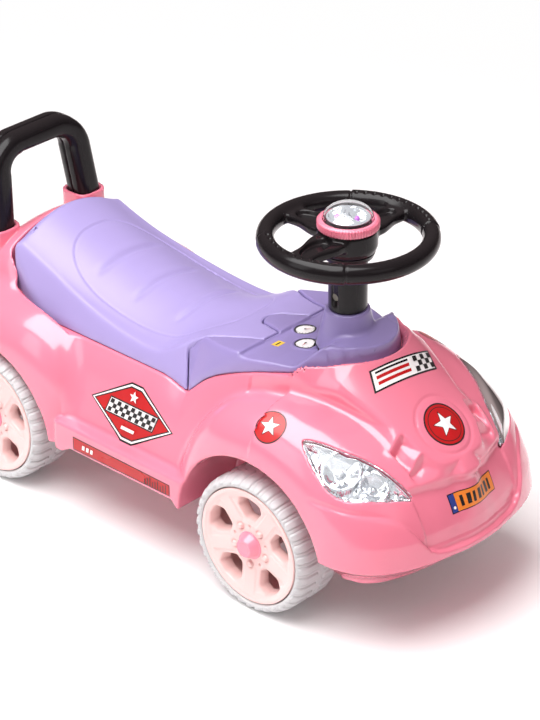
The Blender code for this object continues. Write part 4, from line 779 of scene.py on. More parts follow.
# At the tip of the shield: a red disc with a star.
nose_badge = [(disc_shape(22.6), "black"), (disc_shape(21), "red"), (disc_shape(18.4), "black")]
nose_badge += [(disc_shape(17.6), "red"), (star_shape(14.2), "black"), (star_shape(12.6), "white")]
sticker("nose_badge", (0, -0.2735, 0.2015), (0, -0.64, 0.77), (0, 0.77, 0.64), nose_badge)

kite = [(-58, 0), (-8, 31), (8, 31), (58, 0), (8, -31), (-8, -31)]
for side, word in SIDES:
    # On each front fender: a smaller red disc with a star.
    fender_badge = [(disc_shape(16.8), "black"), (disc_shape(15.6), "red")]
    fender_badge += [(star_shape(11.5), "black"), (star_shape(10.0), "white")]
    place = (side * 0.1185, -0.158, 0.2045)
    sticker(f"fender_badge_{word}", place, (side * 0.62, -0.12, 0.78), (0, 0.1, 1), fender_badge)

    # On each waist: a red lozenge with a chequered band.
    panel = [
        ([(u * wide, v * tall) for u, v in kite], ink)
        for wide, tall, ink in (
            (1.0, 1.0, "black"), (0.96, 0.94, "white"), (0.92, 0.87, "black"), (0.88, 0.82, "red"),
        )
    ]
    panel.append((bar_shape(-34, -9, 68, 18, 2.5), "black"))
    panel.append((bar_shape(-32.6, -7.6, 65.2, 15.2, 2.1), "white"))
    panel += chequers(-32.4, 13, 4.85, 4.7, 0.65)
    panel.append((star_shape(6.5, (0, 17.5)), "white"))
    panel.append((bar_shape(-9, -18.5, 18, 3.4, 0.4), "white"))
    place = (side * 0.1125, 0.0385, 0.1385)
    sticker(f"side_panel_{word}", place, (side, 0, 0.33), (-0.33 * side, 0, 1), panel)

    # On each sill: a red strip with black and white bars.
    strip = [([(-70, -7.5), (68, -6.5), (68, 6.5), (-70, 7.5)], "black")]
    strip.append(([(-69, -6.4), (67, -5.5), (67, 5.5), (-69, 6.4)], "red"))
    for i in range(9):
        left = (-62 + i * 3.6) * side
        strip.append((bar_shape(left, -6.0, 1.2, 10.5 - (i % 3) * 2.0, 0.0), "black"))
    for i in range(3):
        strip.append((bar_shape((54 - i * 6) * side - 2, -2.6, 3.6, 5.2, 0.5), "white"))
    sticker(f"sill_strip_{word}", (side * 0.1372, 0.0290, 0.0920), (side, 0, 0.02), (0, 0, 1), strip)

# On the bumper: an orange plate with a blue end and black bars.
plate = [([(-31.5, -9.5), (31.5, -9.5), (31.5, 9.5), (-31.5, 9.5)], "black")]
plate.append(([(-30.6, -8.6), (-24.5, -8.6), (-24.5, 8.6), (-30.6, 8.6)], "blue"))
plate.append(([(-24.3, -8.6), (30.6, -8.6), (30.6, 8.6), (-24.3, 8.6)], "orange"))
for i in range(7):
    plate.append((bar_shape(-19.5 + i * 6.8, -5.2, 3.2 + (i % 2) * 1.2, 10.4, 0.0), "black"))
plate.append((disc_shape(1.5, (-27.5, -4), 16), "white"))
sticker("front_plate", (0.0015, -0.3145, 0.1405), (0, -0.985, 0.17), (0, 0.17, 0.985), plate)

# Headlights
# A clear moulded cover over a metallised reflector with two round bowls, snapped into the fender.
# The bulbs are moulded dummies.
CLEAR_TINT = (0.97, 0.98, 1.0, 1)
LAMP_COVER_WALL, LAMP_COVER_DOME, FILM_BACKING = 0.0022, 0.0022, 0.0009
BOWLS = ((0.020, 0.0005, 0.0175), (-0.014, 0.001, 0.0135))

# Clear plastic lets shadow and diffuse rays straight through, so that what lies below it is lit.
clear_plastic, tree, shader = node_tree("clear_plastic")
shader.inputs["Base Color"].default_value = CLEAR_TINT
shader.inputs["Roughness"].default_value = 0.03
shader.inputs["Transmission Weight"].default_value = 1.0
shader.inputs["IOR"].default_value = 1.33
path = add_node(tree, "LightPath")
light = add_node(tree, "Math", operation="MAXIMUM")
pass_through = add_node(tree, "BsdfTransparent", {"Color": CLEAR_TINT})
mix = add_node(tree, "MixShader")
join(
    tree,
    (path, "Is Shadow Ray", light, 0),
    (path, "Is Diffuse Ray", light, 1),
    (light, 0, mix, 0),
    (shader, 0, mix, 1),
    (pass_through, 0, mix, 2),
    (mix, 0, tree.nodes["Material Output"], "Surface"),
)


def metal(name, colour, roughness, ripple):
    """Plated or metallised face with a faint ripple in its tone, gloss and height."""
    made, tree, shader = node_tree(name)
    shader.inputs["Metallic"].default_value = 1.0
    place = add_node(tree, "TexCoord")
    waves = add_node(tree, "TexNoise", {"Scale": 60.0})
    tones = tone_ramp(tree, [c * 0.82 for c in colour], colour)
    gloss = add_node(tree, "MapRange", {"To Min": roughness * 0.7, "To Max": roughness * 1.4})
    bump = add_node(tree, "Bump", {"Strength": ripple, "Distance": 0.0005})
    join(
        tree,
        (place, "Object", waves, "Vector"),
        (waves, "Fac", tones, "Fac"),
        (tones, "Color", shader, "Base Color"),
        (waves, "Fac", gloss, "Value"),
        (gloss, "Result", shader, "Roughness"),
        (waves, "Fac", bump, "Height"),
        (bump, "Normal", shader, "Normal"),
    )
    return made


chrome_film = metal("chrome_film", (0.74, 0.75, 0.77), 0.09, 0.25)


def lamp_skin_points(side, flat_points, sink):
    """Moves points of the lamp's plane onto the fender's skin, then deeper by each one's sink."""
    way = np.array((side * LAMP_FACING.x, LAMP_FACING.y, LAMP_FACING.z))
    placed = []
    for along, across in flat_points:
        p = LAMP_CENTRE + LAMP_LENGTH * along + LAMP_WIDTH * across
        placed.append((side * p.x, p.y, p.z))
    placed = np.array(placed)
    low, high = np.full(len(placed), -0.03), np.full(len(placed), 0.03)
    for _ in range(22):
        middle = (low + high) / 2
        free = grouped(placed + way * middle[:, None], body_field) > 0
        high, low = np.where(free, middle, high), np.where(free, low, middle)
    return placed + way * (high - np.array(sink))[:, None]


def shrunk(loop, distance):
    """A closed outline moved inwards by a distance."""
    loop = np.array(loop)
    tangent = np.roll(loop, -1, 0) - np.roll(loop, 1, 0)
    tangent /= np.linalg.norm(tangent, axis=1)[:, None]
    normal = np.stack((tangent[:, 1], -tangent[:, 0]), 1)
    middle = loop.mean(0)
    outward = np.sign(((loop - middle) * normal).sum(1).sum())
    return loop - normal * outward * distance


def reflector_depth(along, across, inward):
    """How deep the reflector lies below the fender's skin: a fluted rim, and two bowls with bulbs."""
    deep = 0.0032 + 0.0085 * min(max(inward / 0.006, 0), 1) ** 0.7
    deep += 0.0007 * math.sin(along * 900) * min(max((inward - 0.002) / 0.004, 0), 1)
    for bowl_along, bowl_across, bowl_radius in BOWLS:
        r = math.hypot(along - bowl_along, across - bowl_across) / bowl_radius
        if r < 1:
            flute = 0.0004 * math.cos(12 * math.atan2(across - bowl_across, along - bowl_along)) * r
            deep = max(0.0042 + 0.0110 * (1 - r**2) + flute, 0.0032)
            deep -= 0.0070 * max(0, 1 - r / 0.28) ** 0.5 if r < 0.28 else 0
        elif r < 1.10:
            deep = min(deep, 0.0048)
    return deep


for side, word in SIDES:
    flat_points, faces = disc_grid(shrunk(lamp_loop, 0.0006), 14)
    inward = -np.array([lamp_distance(np.array([p[0]]), np.array([p[1]]))[0] for p in flat_points])
    dome = LAMP_COVER_DOME * ease(inward / 0.012)
    top = lamp_skin_points(side, flat_points, -dome)
    bottom = lamp_skin_points(side, flat_points, LAMP_COVER_WALL - dome)
    count = len(lamp_loop)
    offset = len(top)
    edge = offset - count
    lens_faces = list(faces) + [tuple(offset + i for i in reversed(f)) for f in faces]
    for i in range(count):
        j = (i + 1) % count
        lens_faces.append((edge + i, offset + edge + i, offset + edge + j, edge + j))
    lens_points = np.concatenate((top, bottom))
    lens = mesh_piece(f"lamp_cover_{word}", lens_points, lens_faces, clear_plastic, 50)
    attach(lens, "body")
    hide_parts(f"headlight_lens_{word}")

    flat_points, faces = disc_grid(shrunk(lamp_loop, 0.0011), 40)
    depth = []
    for along, across in flat_points:
        inward = -lamp_distance(np.array([along]), np.array([across]))[0]
        depth.append(reflector_depth(along, across, inward))
    mirror = lamp_skin_points(side, flat_points, depth)
    reflector = mesh_piece(f"lamp_reflector_{word}", mirror, faces, chrome_film)
    thick = reflector.modifiers.new("film_backing", "SOLIDIFY")
    thick.thickness = FILM_BACKING
    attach(reflector, "body")
    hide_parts(f"headlight_reflector_{word}")

# Seat lid
# A hollow lilac moulding with a satin face, shaped to sit astride. It hinges on a steel pin at its
# rear edge and covers the storage tray.
LILAC = (0.330, 0.275, 0.540)
LID_WALL, LID_CORNER = 0.003, 0.014
SEAT_CREASES_Y = (0.150, 0.097, 0.038)
SEAT_LOW_Y, SEAT_LOW_Z = 0.045, 0.2256
FRONT_RUN, FRONT_RISE, REAR_RUN, REAR_RISE = 0.125, 0.0145, 0.2, 0.0445
LID_KNUCKLE = ((0.012, 0.2355, 0.2495), (0.018, 0.2435, 0.262))
POST_GAP = ((0.019, 0.2415, 0.19), (0.027, 0.26, 0.2555))
lilac_plastic = plastic("lilac_plastic", LILAC, 0.36, 0.025, 0.16, 0.0, 8.0, 1400.0)


def seat_outline():
    """Right half of the seat's outline from the tongue notch round to the rear edge."""
    round_y = TONGUE_REAR_Y - TONGUE_HALF
    right_half = []
    for angle in np.linspace(0, math.pi / 2, 12):
        right_half.append((TONGUE_HALF * math.sin(angle), round_y + TONGUE_HALF * math.cos(angle)))
    lobe = SEAT_HALF / 2
    right_half += [(TONGUE_HALF + TONGUE_FLARE, DASH_REAR_Y), (lobe - 0.002, DASH_REAR_Y)]
    right_half += [(lobe, DASH_REAR_Y + 0.003), (lobe + 0.004, DASH_REAR_Y + 0.018)]
    right_half += [(lobe + 0.012, DASH_REAR_Y + 0.039), (SEAT_HALF - 0.021, SEAT_TIP_Y + 0.0025)]
    right_half += [(SEAT_HALF - 0.015, SEAT_TIP_Y + 0.0125), (SEAT_HALF + 0.0005, SEAT_TIP_Y)]
    side_end = SEAT_REAR_Y - LID_CORNER
    right_half += [(float(seat_half(y)), float(y)) for y in np.linspace(SEAT_TIP_Y + 0.03, side_end, 24)]
    corner_x = float(seat_half(side_end)) - LID_CORNER
    for angle in np.radians(np.arange(80, -1, -10)):
        across = corner_x + LID_CORNER * math.sin(angle)
        right_half.append((across, side_end + LID_CORNER * math.cos(angle)))
    right_half.append((0.0, SEAT_REAR_Y))
    return right_half


seat_distance = plan_distance(both_sides(seat_outline()))
ride_panel = []
for angle in np.linspace(0, 2 * math.pi, 72, endpoint=False):
    c, s = math.cos(angle), math.sin(angle)
    across = 0.064 * math.copysign(abs(c) ** 0.62, c)
    ride_panel.append((across, 0.088 + 0.113 * math.copysign(abs(s) ** 0.80, s)))
panel_distance = plan_distance(ride_panel)


def seat_top(x, y):
    """The seat's upper face: lowest where the child sits, dished across and raised at both ends."""
    x = np.abs(x)
    behind = np.maximum(y - SEAT_LOW_Y, 0) / REAR_RUN
    ahead = np.maximum(SEAT_LOW_Y - y, 0) / FRONT_RUN
    centre = SEAT_LOW_Z + REAR_RISE * behind**1.7 + FRONT_RISE * ahead**1.5
    centre = centre - 0.010 * np.clip((y - SEAT_REAR_Y + 0.0125) / 0.0125, 0, 1) ** 2
    dish = smooth_min(4.7 * x**2, 0.0193 + 0.17 * (x - 0.064), 0.004)
    crown = centre - dish * ease((y + 0.03) / 0.06)
    return smooth_min(crown, rim_height(y) + 2.3 * (SEAT_HALF + 0.0005 - x), 0.006)


def steepness(top, x, y):
    """How much longer the way straight up to a surface is than the way along its normal."""
    reach = 0.001
    across = (top(x + reach, y) - top(x - reach, y)) / (2 * reach)
    along = (top(x, y + reach) - top(x, y - reach)) / (2 * reach)
    return np.sqrt(1 + across**2 + along**2)


def seat_relief(x, y):
    """The inset riding panel with three shallow moulded creases, and the groove round it."""
    edge = panel_distance(x, y)
    panel = 0.0005 * ease(0.5 - edge / 0.0018) + 0.0009 * hump(edge, 0.0011)
    creases = 0
    for middle in SEAT_CREASES_Y:
        across = ease((0.050 - np.abs(x)) / 0.018)
        way = y - middle - 0.10 * x**2
        creases = creases + across * 0.0016 * hump(way, 0.0035) - across * 0.0008 * hump(way - 0.008, 0.006)
    return panel + creases


def seat_field(x, y, z):
    """The hollow lid with its hinge knuckles."""
    outline = seat_distance(x, y)
    top = seat_top(x, y)
    over = (z - top) / steepness(seat_top, x, y)
    level = rim_height(y) - RECESS_DEPTH + 0.0006
    outer = smooth_max(over + seat_relief(x, y), outline + 0.0002, 0.003)
    outer = np.maximum(outer, level - z)
    lid = np.maximum(outer, -np.maximum(over + 0.002, outline) - LID_WALL)
    ax = np.abs(x)
    lid = np.minimum(lid, np.maximum(box_field(ax, y, z, *LID_KNUCKLE), over + 0.001))
    lid = np.maximum(lid, -box_field(ax, y, z, *POST_GAP))
    return np.maximum(lid, HINGE_BORE - np.hypot(y - HINGE_Y, z - HINGE_Z))


seat_low, seat_high = (-0.0925, -0.086, 0.176), (0.0925, 0.2495, 0.274)
seat = moulded("seat_cover", seat_field, seat_low, seat_high, 0.0017, lilac_plastic)
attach(seat, "seat")
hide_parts("seat_lid")

# Storage tray and hinge pin
# A grey tray drops into the body under the seat, and rests on its flange. The hinge pin is bright wire.
bright_steel = metal("bright_steel", (0.76, 0.76, 0.77), 0.22, 0.10)
zinc_steel = metal("zinc_steel", (0.56, 0.57, 0.58), 0.38, 0.25)
recoat("storage_tray", plastic("tray_plastic", (0.30, 0.30, 0.32), 0.50, 0.05, 0.3))
recoat("seat_hinge_pin", bright_steel)

# Dash panel
# A deeper purple moulding round the steering column, with a cone for the column, a sunk strip for
# the printed dials, and stepped ribs beside the cone. It is fixed by the column.
PURPLE = (0.265, 0.215, 0.450)
CONE_RADIUS, CONE_TOP, CONE_BORE = 0.0215, 0.283, 0.0049
DASH_FLAT_Z, DASH_RISE, STRIP_FRONT_Y, STRIP_REAR_Y = 0.240, 0.024, -0.130, -0.0805
STEP_RIBS = ((0.034, 0.040), (0.044, 0.050))
DIAL_Y, SIDE_DIAL_X, SIDE_DIAL_Y = -0.0945, 0.0232, -0.1165
purple_plastic = plastic("purple_plastic", PURPLE, 0.30, 0.025, 0.10, 0.2, 8.0, 1400.0)


def dash_top(x, y):
    """The dash's upper face, with the sunk strip for the dials."""
    x = np.abs(x)
    ahead = np.maximum(SEAT_LOW_Y - y, 0) / FRONT_RUN
    flush = np.minimum(SEAT_LOW_Z + FRONT_RISE * ahead**1.5 + 0.0004, DASH_FLAT_Z)
    top = flush + DASH_RISE * ease((-0.136 - y) / 0.032)
    strip = ease((y - STRIP_FRONT_Y) / 0.003) * ease((STRIP_REAR_Y - y) / 0.003)
    sunk = 0.2372 + 0.10 * np.maximum(-0.09 - y, 0)
    top = top + (np.minimum(top, sunk) - top) * strip
    steep = 2.3 + 1.8 * ease((-0.04 - y) / 0.06)
    return smooth_min(top, rim_height(y) + steep * (dash_half(y) + 0.0005 - x), 0.008)


def dash_relief(x, y):
    """Ribs beside the cone, positive, and raised rings round the dials."""
    ax = np.abs(x)
    dial = np.hypot(x, y - DIAL_Y)
    small = np.hypot(ax - SIDE_DIAL_X, y - SIDE_DIAL_Y)
    ring = 0.0012 * hump(small - 0.0125, 0.0012) + 0.0008 * hump(dial - 0.0118, 0.001)
    steps = 0
    for near, far in STEP_RIBS:
        span = 0.0007 * ease((-0.148 - y) / 0.002)
        steps = steps + span * ease((ax - near) / 0.0015) * ease((far - ax) / 0.0015)
    return steps - ring


def dash_field(x, y, z):
    """The hollow dash with the cone through which the column passes."""
    outline = np.maximum(recess_distance(x, y) + 0.0002, 0.0008 - seat_distance(x, y))
    outline = np.maximum(outline, y - SEAT_TIP_Y - 0.012)
    top = dash_top(x, y)
    level = rim_height(y) - RECESS_DEPTH + 0.0006
    around = np.hypot(x, y - COLUMN_Y)
    slope = CONE_RADIUS + 0.0045 * np.clip((CONE_TOP - z) / 0.019, 0, 3)
    cone = smooth_max(around - slope, z - CONE_TOP, 0.0015)
    cone = np.maximum(cone, 0.244 - z)
    over = (z - top) / steepness(dash_top, x, y)
    block = smooth_max(over + dash_relief(x, y), outline, 0.0025)
    outer = np.maximum(smooth_min(block, cone, 0.005), level - z)
    inner = np.maximum(over + 0.0015, outline) + LID_WALL
    inner = np.minimum(inner, np.maximum(np.maximum(around - slope + LID_WALL, z - 0.279), 0.2 - z))
    shell = np.maximum(outer, -inner)
    return np.maximum(shell, CONE_BORE - around)


dash_low, dash_high = (-0.0925, -0.206, 0.176), (0.0925, -0.006, 0.286)
dash = moulded("dash_cover", dash_field, dash_low, dash_high, 0.0015, purple_plastic)
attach(dash, "body")
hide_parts("dash_panel")

# Its printed labels: three dials in the sunk strip, and a yellow patch at each end.
inks["yellow"] = plastic("yellow_vinyl", (0.80, 0.52, 0.06), 0.3, 0.02, 0.02)
dash_tree = skin_of(dash)
FACE_UP, TOP_AHEAD = (0, 0, 1), (0, -1, 0)


def dial_face(radius, marks, needle):
    """A white dial with black marks round it and a red needle at an angle."""
    layers = [(disc_shape(radius), "black"), (disc_shape(radius * 0.94), "white")]
    for i in range(marks):
        angle = math.radians(-40 + 260 * i / (marks - 1))
        c, s = math.cos(angle), math.sin(angle)
        ends = ((0.70, -0.3), (0.86, -0.3), (0.86, 0.3), (0.70, 0.3))
        mark = [(radius * reach * c + off * s, radius * reach * s - off * c) for reach, off in ends]
        layers.append((mark, "black"))
    c, s = math.cos(needle), math.sin(needle)
    tip = (radius * 0.66 * c, radius * 0.66 * s)
    layers.append(([(-0.7 * s, 0.7 * c), tip, (0.7 * s, -0.7 * c)], "red"))
    layers.append((disc_shape(1.2, (0, 0), 16), "black"))
    return layers


sticker("dial_middle", (0, DIAL_Y, 0.2405), FACE_UP, TOP_AHEAD, dial_face(11.0, 13, 2.2), dash_tree)
for side, word in SIDES:
    place = (side * SIDE_DIAL_X, SIDE_DIAL_Y, 0.243)
    sticker(f"dial_{word}", place, FACE_UP, TOP_AHEAD, dial_face(11.2, 9, 1.2 + side), dash_tree)
    patch = [(bar_shape(-5.5, -4.5, 11, 9, 0), "yellow"), (bar_shape(-3.5, -1.0, 7, 2.0, 0), "black")]
    sticker(f"dash_label_{word}", (side * 0.0385, DIAL_Y, 0.2405), FACE_UP, TOP_AHEAD, patch, dash_tree)

# Push handle
# A hollow black handle of two welded halves, with glossy faces and a weld line all round. Its feet
# plug into sleeves in the rear deck.
black_plastic = plastic("black_plastic", (0.0085, 0.0070, 0.0080), 0.20, 0.10, 0.05)
black_plastic.node_tree.nodes["Principled BSDF"].inputs["Specular IOR Level"].default_value = 0.22
HANDLE_TOP, HANDLE_LEAN, HANDLE_DRAW_IN = 0.342, 0.12, 0.10
HANDLE_FOOT, HANDLE_CORNER, HANDLE_WALL = 0.250, 0.030, 0.003
LEG_HALF, BAR_HALF = 0.015, 0.0115


def handle_middle(y, z):
    """Distance behind the weld line, which leans back as it rises."""
    return y - HANDLE_Y - HANDLE_LEAN * np.maximum(z - HANDLE_FOOT, 0)


def handle_field(x, y, z):
    """Distance from the handle's surface: a rounded bar along an arch that draws in and leans back."""
    ax = np.abs(x)
    leg = HANDLE_X - HANDLE_DRAW_IN * np.maximum(z - HANDLE_FOOT, 0)
    bar_top = HANDLE_TOP - BAR_HALF
    centre_z = bar_top - HANDLE_CORNER
    inner_x = HANDLE_X - HANDLE_DRAW_IN * (centre_z - HANDLE_FOOT) - HANDLE_CORNER
    beyond = (ax > inner_x) & (z > centre_z)
    arc = np.hypot(np.maximum(ax - inner_x, 0), np.maximum(z - centre_z, 0)) - HANDLE_CORNER
    upright = np.where(z > centre_z, arc, ax - leg)
    level = np.where(ax > inner_x, arc, z - bar_top)
    away = np.where(beyond, arc, np.where(z > centre_z, level, upright))
    share = np.where(beyond, (z - centre_z) / HANDLE_CORNER, np.where(z > centre_z, 1, 0))
    half = LEG_HALF - (LEG_HALF - BAR_HALF) * np.clip(share, 0, 1)
    wide = np.abs(away) / half
    deep = np.abs(handle_middle(y, z)) / LEG_HALF
    surface = ((wide**3.0 + deep**3.0) ** (1 / 3.0) - 1) * half * 0.9
    outer = surface + 0.0011 * hump(handle_middle(y, z), 0.0009)
    return np.maximum(np.maximum(outer, 0.204 - z), -np.maximum(surface + HANDLE_WALL, 0.2035 - z))


handle_low, handle_high = (-0.080, 0.262, 0.202), (0.080, 0.314, 0.346)
for word, facing in (("front", -1), ("rear", 1)):
    def half_field(x, y, z, facing=facing):
        return np.maximum(handle_field(x, y, z), -facing * handle_middle(y, z) + 0.00015)

    half_piece = moulded(f"handle_{word}", half_field, handle_low, handle_high, 0.0017, black_plastic)
    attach(half_piece, "body")
    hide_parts(f"push_handle_{word}")

# Steering wheel
# Black gloss plastic: a round rim with two stippled grip zones, three broad spokes and a deep hub.
RIM_Z, RIM_RADIUS, RIM_TUBE = 0.358, 0.079, 0.0090
HUB_RADIUS, HUB_TOP, HUB_LOW = 0.0285, 0.3685, 0.345
GRIP_TURN = math.radians(40)
SPOKE_HALF, SPOKE_FLARE, SPOKE_THICK, SPOKE_DISH = 0.0125, 0.006, 0.0052, 0.0046
DIMPLE_REACH = RIM_RADIUS - 0.001
dimples = []
for middle in (0, math.pi):
    for i in range(12):
        angle = middle + math.radians(-36 + 72 * i / 11)
        dimples.append((DIMPLE_REACH * math.cos(angle), COLUMN_Y + DIMPLE_REACH * math.sin(angle)))


def wheel_field(x, y, z):
    """Rim with grips and dimples, three dished spokes, and the hub with its cup."""
    dy = y - COLUMN_Y
    r = np.hypot(x, dy)
    turn = np.abs(np.arctan2(dy, np.abs(x)))
    grip = ease((GRIP_TURN - turn) / 0.02)
    seam = hump((turn - GRIP_TURN) * RIM_RADIUS, 0.0009)
    tube = RIM_TUBE - 0.0003 + 0.0006 * grip - 0.0010 * seam
    rim = np.hypot(r - RIM_RADIUS, (z - RIM_Z) * 0.88) - tube
    studs = 0
    for sx, sy in dimples:
        away = np.hypot(x - sx, y - sy)
        studs = studs + 0.0022 * hump(away, 0.0018) - 0.0002 * hump(away - 0.0032, 0.0010)
    rim = rim + np.where(z > RIM_Z, studs, 0)
    spokes = 1.0
    for angle in (0, math.pi / 2, math.pi):
        along = x * math.cos(angle) + dy * math.sin(angle)
        across = np.abs(-x * math.sin(angle) + dy * math.cos(angle))
        centre_z = RIM_Z + 0.0015 * ease((RIM_RADIUS - along) / 0.05)
        half_wide = SPOKE_HALF + SPOKE_FLARE * ease((0.058 - along) / 0.028)
        hollow = ease((1 - np.hypot((along - 0.046) / 0.021, across / 0.0105)) / 0.22)
        dish = SPOKE_DISH * hollow * (z > centre_z)
        wide = smooth_max(across - half_wide, np.abs(z - centre_z) + dish - SPOKE_THICK, 0.004)
        spokes = np.minimum(spokes, np.maximum(wide, np.maximum(0.015 - along, along - RIM_RADIUS)))
    hub_side = r - HUB_RADIUS + 0.002 * ease((0.352 - z) / 0.008)
    hub = smooth_max(hub_side, np.maximum(z - HUB_TOP, HUB_LOW - z), 0.0015)
    made = smooth_min(smooth_min(rim, spokes, 0.004), hub, 0.003)
    cup = np.maximum(r - HUB_RADIUS + 0.003, 0.348 - z)
    return smooth_max(made, -cup, 0.0008)


wheel_low, wheel_high = (-0.091, COLUMN_Y - 0.091, 0.343), (0.091, COLUMN_Y + 0.091, 0.3705)
wheel_top = moulded("wheel_rim", wheel_field, wheel_low, wheel_high, 0.0013, black_plastic)
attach(wheel_top, "steering")
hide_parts("steering_wheel")


# Under cover and column
# The black cover closes the hub from below; the thick column tube slips over the steering rod and
# is held by one cross screw.
def turned(name, profile, centre, axis, finish, segments=96, sharp=40, ripple=None):
    """Turns a profile of (radius, distance along the axis) points about an axis."""
    turn = Vector((0, 0, 1)).rotation_difference(Vector(axis)).to_matrix()
    points, faces = [], []
    for step, (radius, along) in enumerate(profile):
        for i in range(segments):
            angle = 2 * math.pi * i / segments
            reach = radius + (ripple(step, i) if ripple else 0)
            spot = turn @ Vector((reach * math.cos(angle), reach * math.sin(angle), along))
            points.append(tuple(Vector(centre) + spot))
    closed = min(radius for radius, _ in profile) > 1e-6
    for k in range(len(profile) if closed else len(profile) - 1):
        a, b = k * segments, (k + 1) % len(profile) * segments
        for i in range(segments):
            j = (i + 1) % segments
            faces.append((a + i, b + i, b + j, a + j))
    made = mesh_piece(name, points, faces, finish)
    builder = bmesh.new()
    builder.from_mesh(made.data)
    bmesh.ops.remove_doubles(builder, verts=builder.verts, dist=1e-7)
    bmesh.ops.dissolve_degenerate(builder, dist=1e-7, edges=builder.edges)
    bmesh.ops.recalc_face_normals(builder, faces=builder.faces)
    builder.to_mesh(made.data)
    builder.free()
    made.data.shade_smooth()
    made.data.set_sharp_from_angle(angle=math.radians(sharp))
    return made


def rounded_profile(profile, radius, steps=4):
    """Rounds the corners of an open or closed profile."""
    made = []
    total = len(profile)
    for i in range(total):
        p = Vector(profile[i])
        if profile[i][0] < 1e-6 or (profile[0][0] < 1e-6 and i in (0, total - 1)):
            made.append(tuple(p))
            continue
        before, after = Vector(profile[i - 1]) - p, Vector(profile[(i + 1) % total]) - p
        reach = min(radius, before.length * 0.45, after.length * 0.45)
        a, b = p + before.normalized() * reach, p + after.normalized() * reach
        for step in range(steps + 1):
            t = step / steps
            made.append(tuple(a * (1 - t) ** 2 + p * 2 * t * (1 - t) + b * t**2))
    return made


ON_COLUMN, UPWARDS = (0, COLUMN_Y, 0), (0, 0, 1)
COLUMN_BORE, COLUMN_RADIUS, COLUMN_LOW, COLUMN_TOP = 0.0043, 0.019, 0.2843, 0.3447
column_profile = [(COLUMN_BORE, COLUMN_LOW), (COLUMN_RADIUS, COLUMN_LOW)]
column_profile += [(COLUMN_RADIUS, COLUMN_TOP), (COLUMN_BORE, COLUMN_TOP)]
column = turned("column_tube", rounded_profile(column_profile, 0.0008), ON_COLUMN, UPWARDS, black_plastic)
hole_profile = [(0, 0), (0.0041, 0), (0.0041, 0.0145), (0, 0.0145)]
hole = turned("screw_hole", hole_profile, (-0.0150, COLUMN_Y, 0.300), (-1, 0, 0), None, 24)
hole.hide_render = True
hole.hide_viewport = True
drilled = column.modifiers.new("screw_hole", "BOOLEAN")
drilled.operation = "DIFFERENCE"
drilled.object = hole
drilled.solver = "EXACT"
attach(hole, "steering")
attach(column, "steering")
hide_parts("steering_column")

cover_profile = [(0.0193, 0.339), (0.0245, 0.339), (0.0265, COLUMN_TOP), (0.0193, COLUMN_TOP)]
cover = turned("hub_cover", rounded_profile(cover_profile, 0.0008), ON_COLUMN, UPWARDS, black_plastic)
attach(cover, "steering")
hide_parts("wheel_under_cover")
recoat("column_screw", metal("dark_steel", (0.14, 0.13, 0.11), 0.35, 0.10))
recoat("steering_rod", bright_steel)
recoat("rod_collar", zinc_steel)

# Horn button
# A pink ribbed ring holds a clear dome that presses down. Below it sit a chromed plate with small
# reflector cups and violet lamps, and the dark sound box.
DOME_LOW, DOME_SKIRT, DOME_RADIUS, DOME_HEIGHT = 0.3735, 0.3785, 0.0245, 0.0140
DOME_BORE, DOME_INNER_HEIGHT = 0.0229, 0.0124
BEZEL_LOW, BEZEL_TOP, BEZEL_RIBS = 0.3688, 0.3778, 62
bezel_profile = [(0.0248, BEZEL_LOW), (0.0288, BEZEL_LOW), (0.0292, 0.3705), (0.0292, 0.3760)]
bezel_profile += [(0.0276, BEZEL_TOP), (0.0248, BEZEL_TOP)]
rounded = rounded_profile(bezel_profile, 0.0007, 3)


def bezel_rib(step, i):
    """Half a millimetre of rib on the outer face only, eight points to a rib."""
    return 0.0005 * math.cos(2 * math.pi * i / 8) + 0.0005 if 0.0281 < rounded[step][0] else 0


bezel = turned("bezel", rounded, ON_COLUMN, UPWARDS, pink_plastic, BEZEL_RIBS * 8, 50, bezel_rib)
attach(bezel, "steering")
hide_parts("bezel_ring")

dome_outer = [(DOME_RADIUS, DOME_LOW), (DOME_RADIUS, DOME_SKIRT)]
dome_inner = []
for angle in np.linspace(0, math.pi / 2, 14)[1:]:
    dome_outer.append((DOME_RADIUS * math.cos(angle), DOME_SKIRT + DOME_HEIGHT * math.sin(angle)))
    dome_inner.append((DOME_BORE * math.cos(angle), DOME_SKIRT + DOME_INNER_HEIGHT * math.sin(angle)))
dome_outer[-1] = (0, DOME_SKIRT + DOME_HEIGHT)
dome_inner[-1] = (0, DOME_SKIRT + DOME_INNER_HEIGHT)
dome_profile = dome_inner[::-1] + [(DOME_BORE, DOME_SKIRT), (DOME_BORE, DOME_LOW)] + dome_outer
dome = turned("horn_cover", dome_profile, ON_COLUMN, UPWARDS, clear_plastic, 72)
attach(dome, "horn_button")
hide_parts("horn_dome")

CUP_REACH, CUP_RADIUS, CUP_DEPTH = 0.0112, 0.0082, 0.0060
PLATE_RADIUS, PLATE_RINGS, PLATE_SEGMENTS = 0.0215, 40, 120
cups = []
for k in range(3):
    turn = 2 * math.pi * k / 3 + 0.5
    cups.append((CUP_REACH * math.cos(turn), CUP_REACH * math.sin(turn)))
chrome_plate = []
for r in np.linspace(0, PLATE_RADIUS, PLATE_RINGS):
    for i in range(PLATE_SEGMENTS):
        angle = 2 * math.pi * i / PLATE_SEGMENTS
        x, y = r * math.cos(angle), r * math.sin(angle)
        z = DOME_SKIRT + DOME_INNER_HEIGHT * math.sqrt(1 - (r / DOME_BORE) ** 2) - 0.0036
        for cup_x, cup_y in cups:
            away = math.hypot(x - cup_x, y - cup_y) / CUP_RADIUS
            if away < 1:
                z -= CUP_DEPTH * (1 - away**2) ** 0.6
        chrome_plate.append((x, COLUMN_Y + y, z))
plate_faces = []
